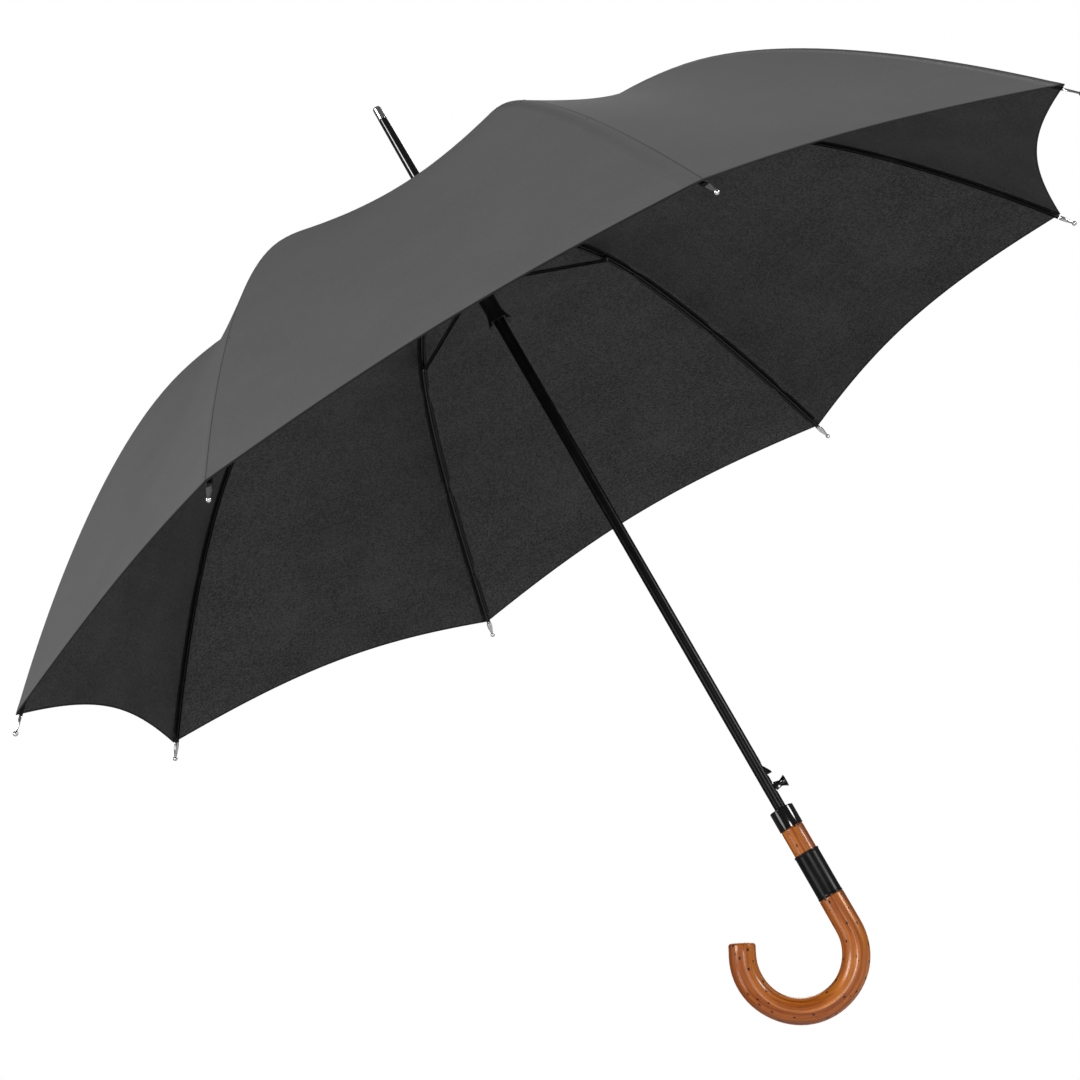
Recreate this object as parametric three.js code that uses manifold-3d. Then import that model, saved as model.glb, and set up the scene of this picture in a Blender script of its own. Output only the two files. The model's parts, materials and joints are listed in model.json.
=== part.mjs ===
// A stick umbrella that opens by itself: eight ribs under a cloth canopy, a runner on a steel shaft,
// a sprung catch with a release button, and a bent wooden crook handle.
// Millimetres, +Z up the shaft towards the ferrule. The origin is on the shaft's axis, at the middle of
// the band round the handle, where a hand holds it. The crook bends towards -X, the catch faces +X.
import * as THREE from 'three';
import { mergeVertices } from 'three/addons/utils/BufferGeometryUtils.js';
import Module from 'manifold-3d';

const wasm = await Module();
wasm.setup();

// ---- driving dimensions ----

const GAP = 0.3;                    // left between pieces that touch

// canopy and linkage
const RIBS = 8;
const FIRST_RIB = -27.9;            // degrees from +X to rib 1, anticlockwise
const RIM_R = 519;                  // radius of the rib ends
const RIM_DROP = 230.5;             // rib ends below the notch pivots
const PIVOT_R = 11;                 // radius of the pivot circle, in the notch and in the runner
const LINK = 257.3;                 // notch pivot to joint, and joint to runner pivot
const OPEN_DROP = 56;               // runner pivots below the notch pivots, when open
const FOLD = 81;                    // degrees that a rib turns from open to closed
const SHOULDER_SLOPE = 20;          // degrees the rib slopes down over the joint
const RIM_SLOPE = 49;               // degrees the rib slopes down at its end
const INNER_PULL = [0.33, 0.33];    // curve handles of the inner rib, as shares of its chord
const OUTER_PULL = [0.275, 0.305];  // the same, of the outer rib

// ribs, stretchers and their ends
const RIB_W = 3.4;
const RIB_H = 2.6;
const STRETCHER_H = 2.4;
const EYE_W = 1.6;                  // thickness of a flattened end
const EYE_R = 1.7;
const WIRE_R = 0.6;                 // wire ring through the eyes
const BODY_START = 6.5;             // full-width rib starts this far from a pivot
const JOINT_OFFSET = 4;             // rivet below the rib's line
const LUG_W = 1.2;
const LUG_R = 2;
const CHEEK_W = 0.8;
const CHEEK_R = 2.2;
const FORK_LENGTH = 9;
const RIVET_R = 0.8;
const FLEX_SPACE = 0.9;             // outer rib starts this far past the joint, so that it can turn
const TIP_LENGTH = 15;              // rib end to the middle of the ball
const TIP_ROOT_W = 5;               // width of the tip's flat root
const TIP_NECK_W = 2;
const TIP_THICKNESS = 2;
const BALL_R = 2.2;

// cloth
const CLOTH_LIFT = 3.4;             // inner face of the cloth above the rib's line
const CLOTH = 0.5;
const CROWN_HOLE = PIVOT_R - 1.5;
const PANEL_SAG = 11;               // sag of a panel's middle, half way down
const HEM_SAG = 4;                  // sag of a panel's middle, at the hem
const HEM_SCALLOP = 22;             // how far the hem's middle is cut back
const STRAP_W = 22;
const STRAP_LENGTH = 170;
const STRAP = 0.9;
const STRAP_RIB = 4;                // the strap lies on this rib's seam
const STUD_R = 5;

// shaft and ferrule
const SHAFT_R = 5;
const SHAFT_WALL = 0.8;
const SHAFT_TOP = 10;               // shaft's end above the notch pivots
const SPIGOT_LENGTH = 16;
const FERRULE_LENGTH = 106.5;
const FERRULE_END_R = 3.95;
const FERRULE_WALL = 0.7;           // wall of the spigot, inside the shaft
const FERRULE_CAP = 12.7;

// runner
const RUNNER_DROP = 44;             // runner's lower rim below its pivots
const RUNNER_CLEARANCE = 0.35;
const CARRIER_R = PIVOT_R + 3;      // outer radius of the notch and of the runner's slotted rim
const SLEEVE_R = SHAFT_R + 2.5;
const SKIRT_R = SHAFT_R + 5.8;
const ARCH_HEIGHT = 3.2;            // arches cut in the skirt, between its two fins
const PIN_R = 0.9;                  // pin that the opening spring pulls
const PIN_DROP = 14;                // pin below the runner's pivots

// catch and button
const CATCH_SEAT = 4;               // flat underside of the catch above the closed runner's rim
const CATCH_HEIGHT = 9.5;
const CATCH_REACH = SHAFT_R + 4;
const CATCH_W = 3;
const LEVER_THICKNESS = 1;
const LEVER_SPACE = 0.6;            // lever's front inside the shaft's bore
const BOSS_R = 1.4;
const LEVER_LENGTH = 40;            // lever's pivot below the catch
const BUTTON_DROP = 11.5;           // button below the catch
const BUTTON_REACH = SHAFT_R + 11;
const BUTTON_R = 5.2;
const BUTTON_WAIST_R = 2.9;
const STALK_W = 3.4;                // thickness of the button's flat stalk
const STALK_FOOT = 2;               // half the stalk's height, at the lever
const STALK_BASE = 3.8;             // half the stalk's height, at the shaft's wall

// handle
const HANDLE_TOP = 58;
const HANDLE_BORE_BOTTOM = 5;
const CLOSED_SPACE = 29.99;         // closed runner's rim above the wood
const GRIP_R = 9.9;
const NECK_R = GRIP_R - 0.9;        // wood inside the collar
const CROOK_R = GRIP_R + 1.4;
const CROOK_BEND = 46.7;            // radius of the crook's middle line
const CROOK_CENTRE_Z = -48.9;
const CROOK_TURN = 207;             // degrees of bend
const CROOK_END = 8.5;              // straight length after the bend
const COLLAR_Z = [HANDLE_TOP - 14, HANDLE_TOP + 4];
const COLLAR_R = GRIP_R + 0.6;
const BAND_HALF = 20.5;
const BAND_R = GRIP_R + 0.85;

// ---- shared geometry ----

const rad = THREE.MathUtils.degToRad;
const v2 = (x, y) => new THREE.Vector2(x, y);
const ROUND = 16;                   // sides of a turned piece

/** A closed mesh with shared vertices, no flat triangles, and its faces pointing out. */
function closed(geometry) {
  const bare = geometry.index ? geometry.toNonIndexed() : geometry.clone();
  bare.deleteAttribute('normal');
  bare.deleteAttribute('uv');
  const merged = mergeVertices(bare, 1e-4);
  const p = merged.attributes.position;
  const corner = [0, 1, 2].map(() => new THREE.Vector3());
  const kept = [];
  let volume = 0;
  for (let i = 0; i < merged.index.count; i += 3) {
    const ids = [0, 1, 2].map((k) => merged.index.getX(i + k));
    if (new Set(ids).size < 3) continue;
    corner.forEach((c, k) => c.fromBufferAttribute(p, ids[k]));
    volume += corner[0].dot(corner[1].clone().cross(corner[2]));
    kept.push(ids);
  }
  const index = kept.flatMap(([a, b, c]) => (volume < 0 ? [a, c, b] : [a, b, c]));
  merged.setIndex(index);
  return merged;
}

function solid(geometry) {
  const shape = closed(geometry);
  return new wasm.Manifold(new wasm.Mesh({
    numProp: 3,
    vertProperties: new Float32Array(shape.attributes.position.array),
    triVerts: new Uint32Array(shape.index.array),
  }));
}

function geometryOf(body) {
  const mesh = body.getMesh();
  const geometry = new THREE.BufferGeometry();
  geometry.setAttribute('position', new THREE.BufferAttribute(mesh.vertProperties, 3));
  geometry.setIndex(new THREE.BufferAttribute(mesh.triVerts, 1));
  return geometry;
}

const join = (...geometries) => geometryOf(geometries.map(solid).reduce((a, b) => a.add(b)));
const cut = (geometry, ...tools) =>
  geometryOf(tools.map(solid).reduce((a, b) => a.subtract(b), solid(geometry)));

/** A turned piece about Z; the profile is a list of [radius, z]. */
function turned(profile, sides = ROUND) {
  return new THREE.LatheGeometry(profile.map(([r, z]) => v2(r, z)), sides).rotateX(Math.PI / 2);
}

/** A turned piece with a bore: its profile closes on itself. */
const turnedRing = (profile, sides) => turned([...profile, profile[0]], sides);

/** A turned piece along X instead of Z. */
const turnedAlongX = (profile, sides) => turned(profile, sides).rotateY(Math.PI / 2);

/** A straight round bar along Y, from y0 to y1, at x and z. */
function barAlongY(radius, y0, y1, x, z, sides = 8) {
  return new THREE.CylinderGeometry(radius, radius, y1 - y0, sides).translate(x, (y0 + y1) / 2, z);
}

function block(x0, x1, y0, y1, z0, z1) {
  return new THREE.BoxGeometry(x1 - x0, y1 - y0, z1 - z0)
    .translate((x0 + x1) / 2, (y0 + y1) / 2, (z0 + z1) / 2);
}

/** A plate in the XZ plane: a shape of x and z, with its thickness along Y about the given middle. */
function plate(shape, thickness, middle = 0, curveSegments = 3) {
  return new THREE.ExtrudeGeometry(shape, { depth: thickness, bevelEnabled: false, curveSegments })
    .translate(0, 0, -thickness / 2 - middle)
    .rotateX(Math.PI / 2);
}

/** A round-ended link shape from a to b, with a radius at each end. */
function linkShape(a, b, radiusA, radiusB) {
  const along = Math.atan2(b.y - a.y, b.x - a.x);
  const shape = new THREE.Shape();
  shape.absarc(a.x, a.y, radiusA, along + Math.PI / 2, along + 1.5 * Math.PI, false);
  shape.absarc(b.x, b.y, radiusB, along - Math.PI / 2, along + Math.PI / 2, false);
  shape.closePath();
  return shape;
}

/** The outline of a strip of even height about a curve, from share t0 to t1. */
function stripShape(curve, height, t0, t1, steps) {
  const side = (sign) => Array.from({ length: steps + 1 }, (_, i) => {
    const t = t0 + (t1 - t0) * (i / steps);
    const along = curve.getTangent(t);
    return curve.getPoint(t).add(v2(-along.y, along.x).multiplyScalar(sign * height / 2));
  });
  return new THREE.Shape([...side(-1), ...side(1).reverse()]);
}

/** A coil about Z from z0 to z1, with its wire ends left square. */
class Coil extends THREE.Curve {
  constructor(radius, z0, z1, turns) {
    super();
    Object.assign(this, { radius, z0, z1, turns });
  }

  getPoint(t, target = new THREE.Vector3()) {
    const a = t * this.turns * 2 * Math.PI;
    const z = this.z0 + (this.z1 - this.z0) * t;
    return target.set(this.radius * Math.cos(a), this.radius * Math.sin(a), z);
  }
}

function coil(radius, wire, z0, z1, turns, stepsPerTurn = 8, sides = 4) {
  const section = new THREE.Shape(Array.from({ length: sides }, (_, i) => {
    const a = (i / sides) * 2 * Math.PI;
    return v2(wire * Math.cos(a), wire * Math.sin(a));
  }));
  return new THREE.ExtrudeGeometry(section, {
    steps: turns * stepsPerTurn,
    extrudePath: new Coil(radius, z0, z1, turns),
    bevelEnabled: false,
  });
}

// ---- materials ----

const finish = (color, roughness, metalness) =>
  new THREE.MeshStandardMaterial({ color, roughness, metalness });
const blackSteel = finish(0x17181a, 0.35, 0.8);
const blackPlastic = finish(0x101012, 0.3, 0);
const chrome = finish(0xd8dade, 0.12, 1);
const springSteel = finish(0x8d9095, 0.3, 1);
const wood = finish(0x9c5a22, 0.35, 0);
const greyCloth = finish(0x6a6b6d, 0.8, 0);

// ---- the umbrella's side view, as points of radius and height ----

const openAngle = Math.asin(OPEN_DROP / 2 / LINK);
const closedDrop = 2 * LINK * Math.sin(openAngle + rad(FOLD));
const runnerTravel = closedDrop - OPEN_DROP;
const closedRim = HANDLE_TOP + CLOSED_SPACE;
const notchZ = closedRim + RUNNER_DROP + closedDrop;
const catchZ = closedRim + CATCH_SEAT;
const leverZ = catchZ - LEVER_LENGTH;
const buttonZ = catchZ - BUTTON_DROP;

const notchPivot = v2(PIVOT_R, notchZ);
const runnerPivot = v2(PIVOT_R, notchZ - OPEN_DROP);
const joint = v2(PIVOT_R + LINK * Math.cos(openAngle), notchZ - OPEN_DROP / 2);
const shoulder = v2(Math.sin(rad(SHOULDER_SLOPE)), Math.cos(rad(SHOULDER_SLOPE)))
  .multiplyScalar(JOINT_OFFSET)
  .add(joint);
const ribEnd = v2(RIM_R, notchZ - RIM_DROP);

/** A rib's curve between two points, leaving and arriving at the given slopes below level. */
function ribCurve(from, to, slopeFrom, slopeTo, [pullFrom, pullTo]) {
  const chord = from.distanceTo(to);
  const step = (slope, share) =>
    v2(Math.cos(rad(slope)), -Math.sin(rad(slope))).multiplyScalar(share * chord);
  return new THREE.CubicBezierCurve(
    from.clone(),
    from.clone().add(step(slopeFrom, pullFrom)),
    to.clone().sub(step(slopeTo, pullTo)),
    to.clone(),
  );
}

const innerRib = ribCurve(notchPivot, shoulder, 1, SHOULDER_SLOPE, INNER_PULL);
const outerRib = ribCurve(shoulder, ribEnd, SHOULDER_SLOPE, RIM_SLOPE, OUTER_PULL);
const ribLength = innerRib.getLength() + outerRib.getLength();
const jointShare = innerRib.getLength() / ribLength;

/** The rib's line at a share of its whole length: the point, and the direction out of its top. */
function ribAt(share) {
  const inner = share < jointShare;
  const curve = inner ? innerRib : outerRib;
  const u = inner ? share / jointShare : (share - jointShare) / (1 - jointShare);
  const along = curve.getTangentAt(Math.min(u, 1));
  return { at: curve.getPointAt(Math.min(u, 1)), out: v2(-along.y, along.x) };
}

// ---- canopy ----

const HALF_PANEL = Math.PI / RIBS;

/** 0 on a rib's seam and 1 along a panel's middle. */
const panelShare = (angle) => 1 - ((HALF_PANEL - Math.abs(angle)) / HALF_PANEL) ** 2;

/**
 * A point of the cloth: share runs from the crown to the hem, angle from the rib's seam,
 * and lift is the height above the rib's line. A panel is pulled flat between two ribs, then sags.
 */
function clothPoint(share, angle, lift) {
  const across = panelShare(angle);
  const down = share * (1 - (HEM_SCALLOP / ribLength) * across);
  const { at, out } = ribAt(down);
  const sag = (4 * PANEL_SAG * share * (1 - share) + HEM_SAG * share) * across;
  const r = at.x - (PIVOT_R - CROWN_HOLE) * (1 - share);
  const radius = r * Math.cos(HALF_PANEL) / Math.cos(HALF_PANEL - Math.abs(angle)) + out.x * (lift - sag);
  return new THREE.Vector3(radius * Math.cos(angle), radius * Math.sin(angle), at.y + out.y * (lift - sag));
}

/** A closed shell over part of the cloth, between two lifts, with points from place(u, v, lift). */
function shell(place, across, down, low, high) {
  const points = [];
  for (const lift of [low, high]) {
    for (let j = 0; j <= down; j += 1) {
      for (let i = 0; i <= across; i += 1) points.push(place(i / across, j / down, lift));
    }
  }
  const row = across + 1;
  const layer = row * (down + 1);
  const index = [];
  const quad = (a, b, c, d) => index.push(a, b, c, a, c, d);
  for (let j = 0; j < down; j += 1) {
    for (let i = 0; i < across; i += 1) {
      const a = j * row + i;
      quad(a, a + 1, a + row + 1, a + row);
      quad(layer + a, layer + a + row, layer + a + row + 1, layer + a + 1);
    }
  }
  for (let i = 0; i < across; i += 1) {
    const end = down * row + i;
    quad(i, layer + i, layer + i + 1, i + 1);
    quad(end, end + 1, layer + end + 1, layer + end);
  }
  for (let j = 0; j < down; j += 1) {
    const a = j * row;
    const b = a + across;
    quad(a, a + row, layer + a + row, layer + a);
    quad(b, layer + b, layer + b + row, b + row);
  }
  const geometry = new THREE.BufferGeometry().setFromPoints(points);
  geometry.setIndex(index);
  return closed(geometry);
}

/** The cloth about one rib, out to the middle of the panels on both sides of it. */
function canopyPanel() {
  const place = (u, v, lift) => {
    const edge = HALF_PANEL - Math.asin(GAP / 2 / CROWN_HOLE) * (CROWN_HOLE / (CROWN_HOLE + v * RIM_R));
    return clothPoint(v, (2 * u - 1) * edge, lift);
  };
  return shell(place, 4, 16, CLOTH_LIFT, CLOTH_LIFT + CLOTH);
}

const strapLift = CLOTH_LIFT + CLOTH + 2 * GAP;
const strapShares = [0.97 - STRAP_LENGTH / ribLength, 0.97];

/** A point on or above the cloth beside a seam, at a sideways distance from the rib. */
function besideSeam(share, sideways, lift) {
  const radius = clothPoint(share, 0, lift).x;
  return clothPoint(share, sideways / radius, lift);
}

function closureStrap() {
  const place = (u, v, lift) => besideSeam(
    strapShares[0] + (strapShares[1] - strapShares[0]) * v, (u - 0.5) * STRAP_W, lift);
  return shell(place, 4, 6, strapLift, strapLift + STRAP);
}

function strapStud() {
  const share = strapShares[0] + 9 / ribLength;
  const { at, out } = ribAt(share);
  const base = strapLift + STRAP + GAP;
  return turned([[0, 0], [STUD_R, 0], [STUD_R, 0.8], [STUD_R * 0.6, 1.8], [0, 1.8]], 12)
    .rotateY(Math.atan2(out.x, out.y))
    .translate(at.x - (PIVOT_R - CROWN_HOLE) * (1 - share) + out.x * base, 0, at.y + out.y * base);
}

// ---- ribs, tips and stretchers, each drawn in the XZ plane ----

function ribInner() {
  const start = BODY_START / innerRib.getLength();
  const body = plate(stripShape(innerRib, RIB_H, start, 1 - 0.2 / innerRib.getLength(), 7), RIB_W);
  const neck = innerRib.getPoint(start * 1.4);
  const eye = plate(linkShape(notchPivot, neck, EYE_R, RIB_H / 2), EYE_W);
  const lugTop = joint.clone().lerp(shoulder, 0.6).addScaledVector(innerRib.getTangent(1), -LUG_R - GAP);
  const lug = plate(linkShape(joint, lugTop, LUG_R, LUG_R), LUG_W);
  const eyeHole = barAlongY(WIRE_R + GAP, -RIB_W, RIB_W, notchPivot.x, notchPivot.y);
  const jointHole = barAlongY(RIVET_R + GAP, -RIB_W, RIB_W, joint.x, joint.y);
  return cut(join(body, eye, lug), eyeHole, jointHole);
}

function ribOuter() {
  const length = outerRib.getLength();
  return closed(plate(stripShape(outerRib, RIB_H, FLEX_SPACE / length * 1.1, 1 - GAP / length, 8), RIB_W));
}

function ribTip() {
  const neck = TIP_LENGTH - BALL_R * 0.5;
  const flat = new THREE.Shape([v2(-TIP_ROOT_W / 2, GAP), v2(TIP_ROOT_W / 2, GAP), v2(TIP_ROOT_W / 2, 5),
    v2(TIP_NECK_W / 2, neck), v2(-TIP_NECK_W / 2, neck), v2(-TIP_ROOT_W / 2, 5)]);
  const ball = new THREE.SphereGeometry(BALL_R, 8, 6).translate(0, 0, TIP_LENGTH);
  return join(plate(flat, TIP_THICKNESS).rotateZ(Math.PI / 2), ball)
    .rotateY(rad(90 + RIM_SLOPE))
    .translate(ribEnd.x, 0, ribEnd.y);
}

function stretcher() {
  const along = runnerPivot.clone().sub(joint).normalize();
  const from = (point, distance) => point.clone().addScaledVector(along, distance);
  const line = new THREE.LineCurve(from(joint, FORK_LENGTH - 2), from(runnerPivot, -BODY_START));
  const bar = plate(stripShape(line, STRETCHER_H, 0, 1, 1), RIB_W);
  const cheekY = LUG_W / 2 + GAP + CHEEK_W / 2;
  const cheek = linkShape(joint, from(joint, FORK_LENGTH), CHEEK_R, STRETCHER_H / 2);
  const cheeks = [-cheekY, cheekY].map((y) => plate(cheek, CHEEK_W, y));
  const rivet = barAlongY(RIVET_R, -cheekY - CHEEK_W, cheekY + CHEEK_W, joint.x, joint.y);
  const neck = from(runnerPivot, -BODY_START * 1.4);
  const eye = plate(linkShape(runnerPivot, neck, EYE_R, STRETCHER_H / 2), EYE_W);
  const hole = barAlongY(WIRE_R + GAP, -RIB_W, RIB_W, runnerPivot.x, runnerPivot.y);
  return cut(join(bar, ...cheeks, rivet, eye), hole);
}

// ---- notch and runner: slotted rims with a wire ring in a groove ----

const SLOT_W = EYE_W + 2 * GAP;
const grooveFloor = -(WIRE_R + GAP);
const grooveInner = PIVOT_R - WIRE_R - GAP;
const grooveOuter = PIVOT_R + WIRE_R + GAP;

/** Eight slots for the eyes, from z0 to z1, lined up with the ribs. */
function slots(z0, z1) {
  const first = grooveInner - EYE_R - GAP - 0.5;
  return Array.from({ length: RIBS }, (_, k) =>
    block(first, CARRIER_R + 5, -SLOT_W / 2, SLOT_W / 2, z0, z1)
      .rotateZ(rad(FIRST_RIB + k * 360 / RIBS)));
}

function wireRing(z) {
  return new THREE.TorusGeometry(PIVOT_R, WIRE_R, 5, 3 * RIBS)
    .rotateZ(rad(FIRST_RIB))
    .translate(0, 0, z);
}

function topNotch() {
  const bore = SHAFT_R + GAP;
  const top = EYE_R + 2 * GAP + 0.3;
  const body = turnedRing([[bore, -4.5], [CARRIER_R - 1.5, -4.5], [CARRIER_R, -3], [CARRIER_R, top],
    [grooveOuter, top], [grooveOuter, grooveFloor], [grooveInner, grooveFloor], [grooveInner, top],
    [bore, top]]);
  return cut(body, ...slots(-10, EYE_R + GAP)).translate(0, 0, notchZ);
}

function runner() {
  const bore = SHAFT_R + RUNNER_CLEARANCE;
  const rim = -RUNNER_DROP;
  const body = turnedRing([[bore, rim], [SKIRT_R - 0.5, rim], [SKIRT_R, rim + 0.6], [SLEEVE_R + 1.1, rim + 6],
    [SLEEVE_R, rim + 12], [SLEEVE_R, -16], [SLEEVE_R + 0.8, -14.5], [SLEEVE_R + 0.8, -6],
    [CARRIER_R - 1.5, -4.5], [CARRIER_R, -3], [CARRIER_R, 4.5], [grooveOuter, 4.5],
    [grooveOuter, grooveFloor], [grooveInner, grooveFloor], [grooveInner, 4.5], [bore, 4.5]]);
  const ledge = rim + CATCH_SEAT - GAP;
  const window = block(SHAFT_R - 1, CARRIER_R + 5, -CATCH_W / 2 - 0.6, CATCH_W / 2 + 0.6,
    ledge, ledge + CATCH_HEIGHT + 3);
  const pinHole = barAlongY(PIN_R + GAP, SHAFT_R, CARRIER_R + 5, 0, -PIN_DROP);
  const archHalf = SLEEVE_R * 0.9;
  const arches = block(-archHalf, archHalf, -SKIRT_R - 1, SKIRT_R + 1, rim - 1, rim + ARCH_HEIGHT);
  return cut(body, ...slots(-EYE_R - GAP, 10), window, pinHole, arches).translate(0, 0, runnerPivot.y);
}

function runnerPin() {
  return closed(barAlongY(PIN_R, 0, SLEEVE_R + 0.8, 0, runnerPivot.y - PIN_DROP));
}

// ---- shaft, ferrule and opening spring ----

const shaftTop = notchZ + SHAFT_TOP;
const shaftBore = SHAFT_R - SHAFT_WALL;
const spigotR = shaftBore - GAP;
const ferruleBore = spigotR - FERRULE_WALL;

function shaftTube() {
  const bottom = HANDLE_BORE_BOTTOM + GAP;
  const tube = turnedRing([[shaftBore, bottom], [SHAFT_R, bottom], [SHAFT_R, shaftTop],
    [shaftBore, shaftTop]]);
  const pinTop = runnerPivot.y - PIN_DROP + PIN_R + 2 * GAP;
  const pinBottom = pinTop - runnerTravel - 2 * PIN_R - 4 * GAP;
  const pinSlot = block(-PIN_R - GAP, PIN_R + GAP, 1, SHAFT_R + 1, pinBottom, pinTop);
  const catchSlot = block(1, SHAFT_R + 1, -CATCH_W / 2 - 0.5, CATCH_W / 2 + 0.5,
    catchZ - 1, catchZ + CATCH_HEIGHT + 2);
  const buttonHole = block(1, SHAFT_R + 1, -STALK_W / 2 - GAP, STALK_W / 2 + GAP,
    buttonZ - STALK_BASE - GAP, buttonZ + STALK_BASE + GAP);
  const leverHole = barAlongY(0.5 + GAP, -SHAFT_R - 1, SHAFT_R + 1, leverX, leverZ);
  return cut(tube, pinSlot, catchSlot, buttonHole, leverHole);
}

const ferruleBase = shaftTop + GAP;
const ferruleEnd = ferruleBase + FERRULE_LENGTH;
const anchorZ = ferruleEnd - 18;

function ferruleTube() {
  const spigotEnd = ferruleBase - SPIGOT_LENGTH;
  const tube = turnedRing([[ferruleBore, spigotEnd], [spigotR, spigotEnd], [spigotR, ferruleBase],
    [SHAFT_R, ferruleBase], [SHAFT_R, ferruleBase + 3], [FERRULE_END_R, ferruleEnd],
    [ferruleBore, ferruleEnd]]);
  return cut(tube, barAlongY(0.8 + GAP, -SHAFT_R - 1, SHAFT_R + 1, 0, anchorZ));
}

function springAnchorPin() {
  return closed(barAlongY(0.8, -FERRULE_END_R, FERRULE_END_R, 0, anchorZ));
}

function ferruleCap() {
  const plug = ferruleBore - GAP;
  const base = ferruleEnd + GAP;
  const end = base + FERRULE_CAP;
  return closed(turned([[0, base - 6], [plug, base - 6], [plug, base], [FERRULE_END_R + 0.1, base],
    [FERRULE_END_R + 0.1, base + 1], [FERRULE_END_R - 0.15, end - 1.2], [FERRULE_END_R - 0.9, end],
    [0, end]]));
}

function crownCap() {
  const bore = SHAFT_R + GAP;
  const low = notchZ + CLOTH_LIFT + CLOTH + GAP;
  return closed(turnedRing([[bore, low], [CROWN_HOLE + 3.5, low], [CROWN_HOLE + 3.1, low + 0.8],
    [SHAFT_R + 3.5, low + 2.2], [SHAFT_R + 2.2, low + 4], [bore, low + 4]]));
}

function openingSpring() {
  return closed(coil(ferruleBore - 0.8, 0.45, runnerPivot.y - PIN_DROP + 2, anchorZ - 1.7, 12));
}

// ---- catch, button and their springs, inside the lower end of the shaft ----

const leverFront = shaftBore - LEVER_SPACE;
const leverBack = leverFront - LEVER_THICKNESS;
const leverX = leverFront - BOSS_R;

function catchLever() {
  const top = catchZ + CATCH_HEIGHT;
  const shape = new THREE.Shape([v2(leverBack, leverZ), v2(leverFront, leverZ), v2(leverFront, catchZ),
    v2(CATCH_REACH, catchZ), v2(CATCH_REACH, catchZ + 1), v2(leverFront, top), v2(leverBack, top)]);
  const boss = linkShape(v2(leverX, leverZ), v2(leverX + 0.2, leverZ + 3), BOSS_R, BOSS_R - 0.4);
  return cut(join(plate(shape, CATCH_W), plate(boss, CATCH_W)),
    barAlongY(0.5 + GAP, -CATCH_W, CATCH_W, leverX, leverZ));
}

function leverPin() {
  const half = Math.sqrt(SHAFT_R ** 2 - leverX ** 2) - GAP;
  return closed(barAlongY(0.5, -half, half, leverX, leverZ));
}

function releaseButton() {
  const foot = leverFront + GAP;
  const waist = BUTTON_REACH - 6;
  const half = [[foot, STALK_FOOT], [SHAFT_R - 0.2, STALK_FOOT], [SHAFT_R + GAP, STALK_BASE],
    [waist, BUTTON_WAIST_R]].map(([x, z]) => v2(x, z));
  const mirrored = half.map(({ x, y }) => v2(x, -y)).reverse();
  const stalk = plate(new THREE.Shape([...half, ...mirrored]), STALK_W);
  const face = BUTTON_REACH;
  const head = turnedAlongX([[0, waist - 0.4], [BUTTON_WAIST_R * 0.9, waist - 0.4],
    [BUTTON_WAIST_R, waist + 1], [BUTTON_R - 0.6, face - 1.6], [BUTTON_R, face - 0.9],
    [BUTTON_R - 0.2, face - 0.4], [BUTTON_R - 2, face], [0, face]]);
  return join(stalk, head).translate(0, 0, buttonZ);
}

function buttonSpring() {
  return closed(coil(1.4, 0.3, -shaftBore + 3 * GAP, leverBack - 2 * GAP, 4)
    .rotateY(Math.PI / 2)
    .translate(0, 0, buttonZ));
}

// ---- handle ----

function handleCrook() {
  const bore = SHAFT_R + GAP;
  const shoulderZ = COLLAR_Z[0] - GAP;
  const straight = turned([[0, CROOK_CENTRE_Z], [CROOK_R, CROOK_CENTRE_Z], [CROOK_R - 0.3, -BAND_HALF - GAP],
    [GRIP_R, -BAND_HALF - GAP], [GRIP_R, shoulderZ - 2], [GRIP_R - 0.4, shoulderZ], [NECK_R, shoulderZ],
    [NECK_R, HANDLE_TOP - 1], [NECK_R - 1, HANDLE_TOP], [0, HANDLE_TOP]]);
  const section = new THREE.Shape().absarc(0, 0, CROOK_R, 0, 2 * Math.PI, false);
  const centre = new THREE.Vector3(-CROOK_BEND, 0, CROOK_CENTRE_Z);
  const onBend = (turn) =>
    new THREE.Vector3(Math.cos(turn), 0, -Math.sin(turn)).multiplyScalar(CROOK_BEND).add(centre);
  const arc = Array.from({ length: 23 }, (_, i) => onBend(rad(CROOK_TURN * i / 22)));
  const crook = new THREE.ExtrudeGeometry(section, {
    steps: 19, extrudePath: new THREE.CatmullRomCurve3(arc), bevelEnabled: false, curveSegments: ROUND / 2,
  });
  const last = onBend(rad(CROOK_TURN));
  const end = turned([[0, -0.5], [CROOK_R, -0.5], [CROOK_R, CROOK_END], [CROOK_R - 0.8, CROOK_END + 1.4],
    [CROOK_R - 3, CROOK_END + 2.3], [0, CROOK_END + 2.6]])
    .rotateY(rad(CROOK_TURN - 180))
    .translate(last.x, 0, last.z);
  const hole = turned([[0, HANDLE_BORE_BOTTOM], [bore, HANDLE_BORE_BOTTOM], [bore, HANDLE_TOP + 5],
    [0, HANDLE_TOP + 5]]);
  return cut(join(straight, crook, end), hole);
}

function handleCollar() {
  const [low, high] = COLLAR_Z;
  const bore = SHAFT_R + GAP;
  const seat = HANDLE_TOP + GAP;
  return closed(turnedRing([[NECK_R + GAP, low], [COLLAR_R - 0.6, low], [COLLAR_R, low + 0.6],
    [COLLAR_R, high - 2.4], [COLLAR_R - 0.7, high - 0.7], [COLLAR_R - 2.4, high], [bore, high], [bore, seat],
    [NECK_R + GAP, seat]]));
}

function handleBand() {
  const inner = GRIP_R + GAP;
  return closed(turnedRing([[inner, -BAND_HALF], [BAND_R + 0.2, -BAND_HALF],
    [BAND_R + 0.35, -BAND_HALF + 1], [BAND_R, -BAND_HALF + 2], [BAND_R, BAND_HALF - 2],
    [BAND_R + 0.35, BAND_HALF - 1], [BAND_R + 0.2, BAND_HALF], [inner, BAND_HALF]]));
}

// ---- assembly ----

const umbrella = new THREE.Group();

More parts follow.
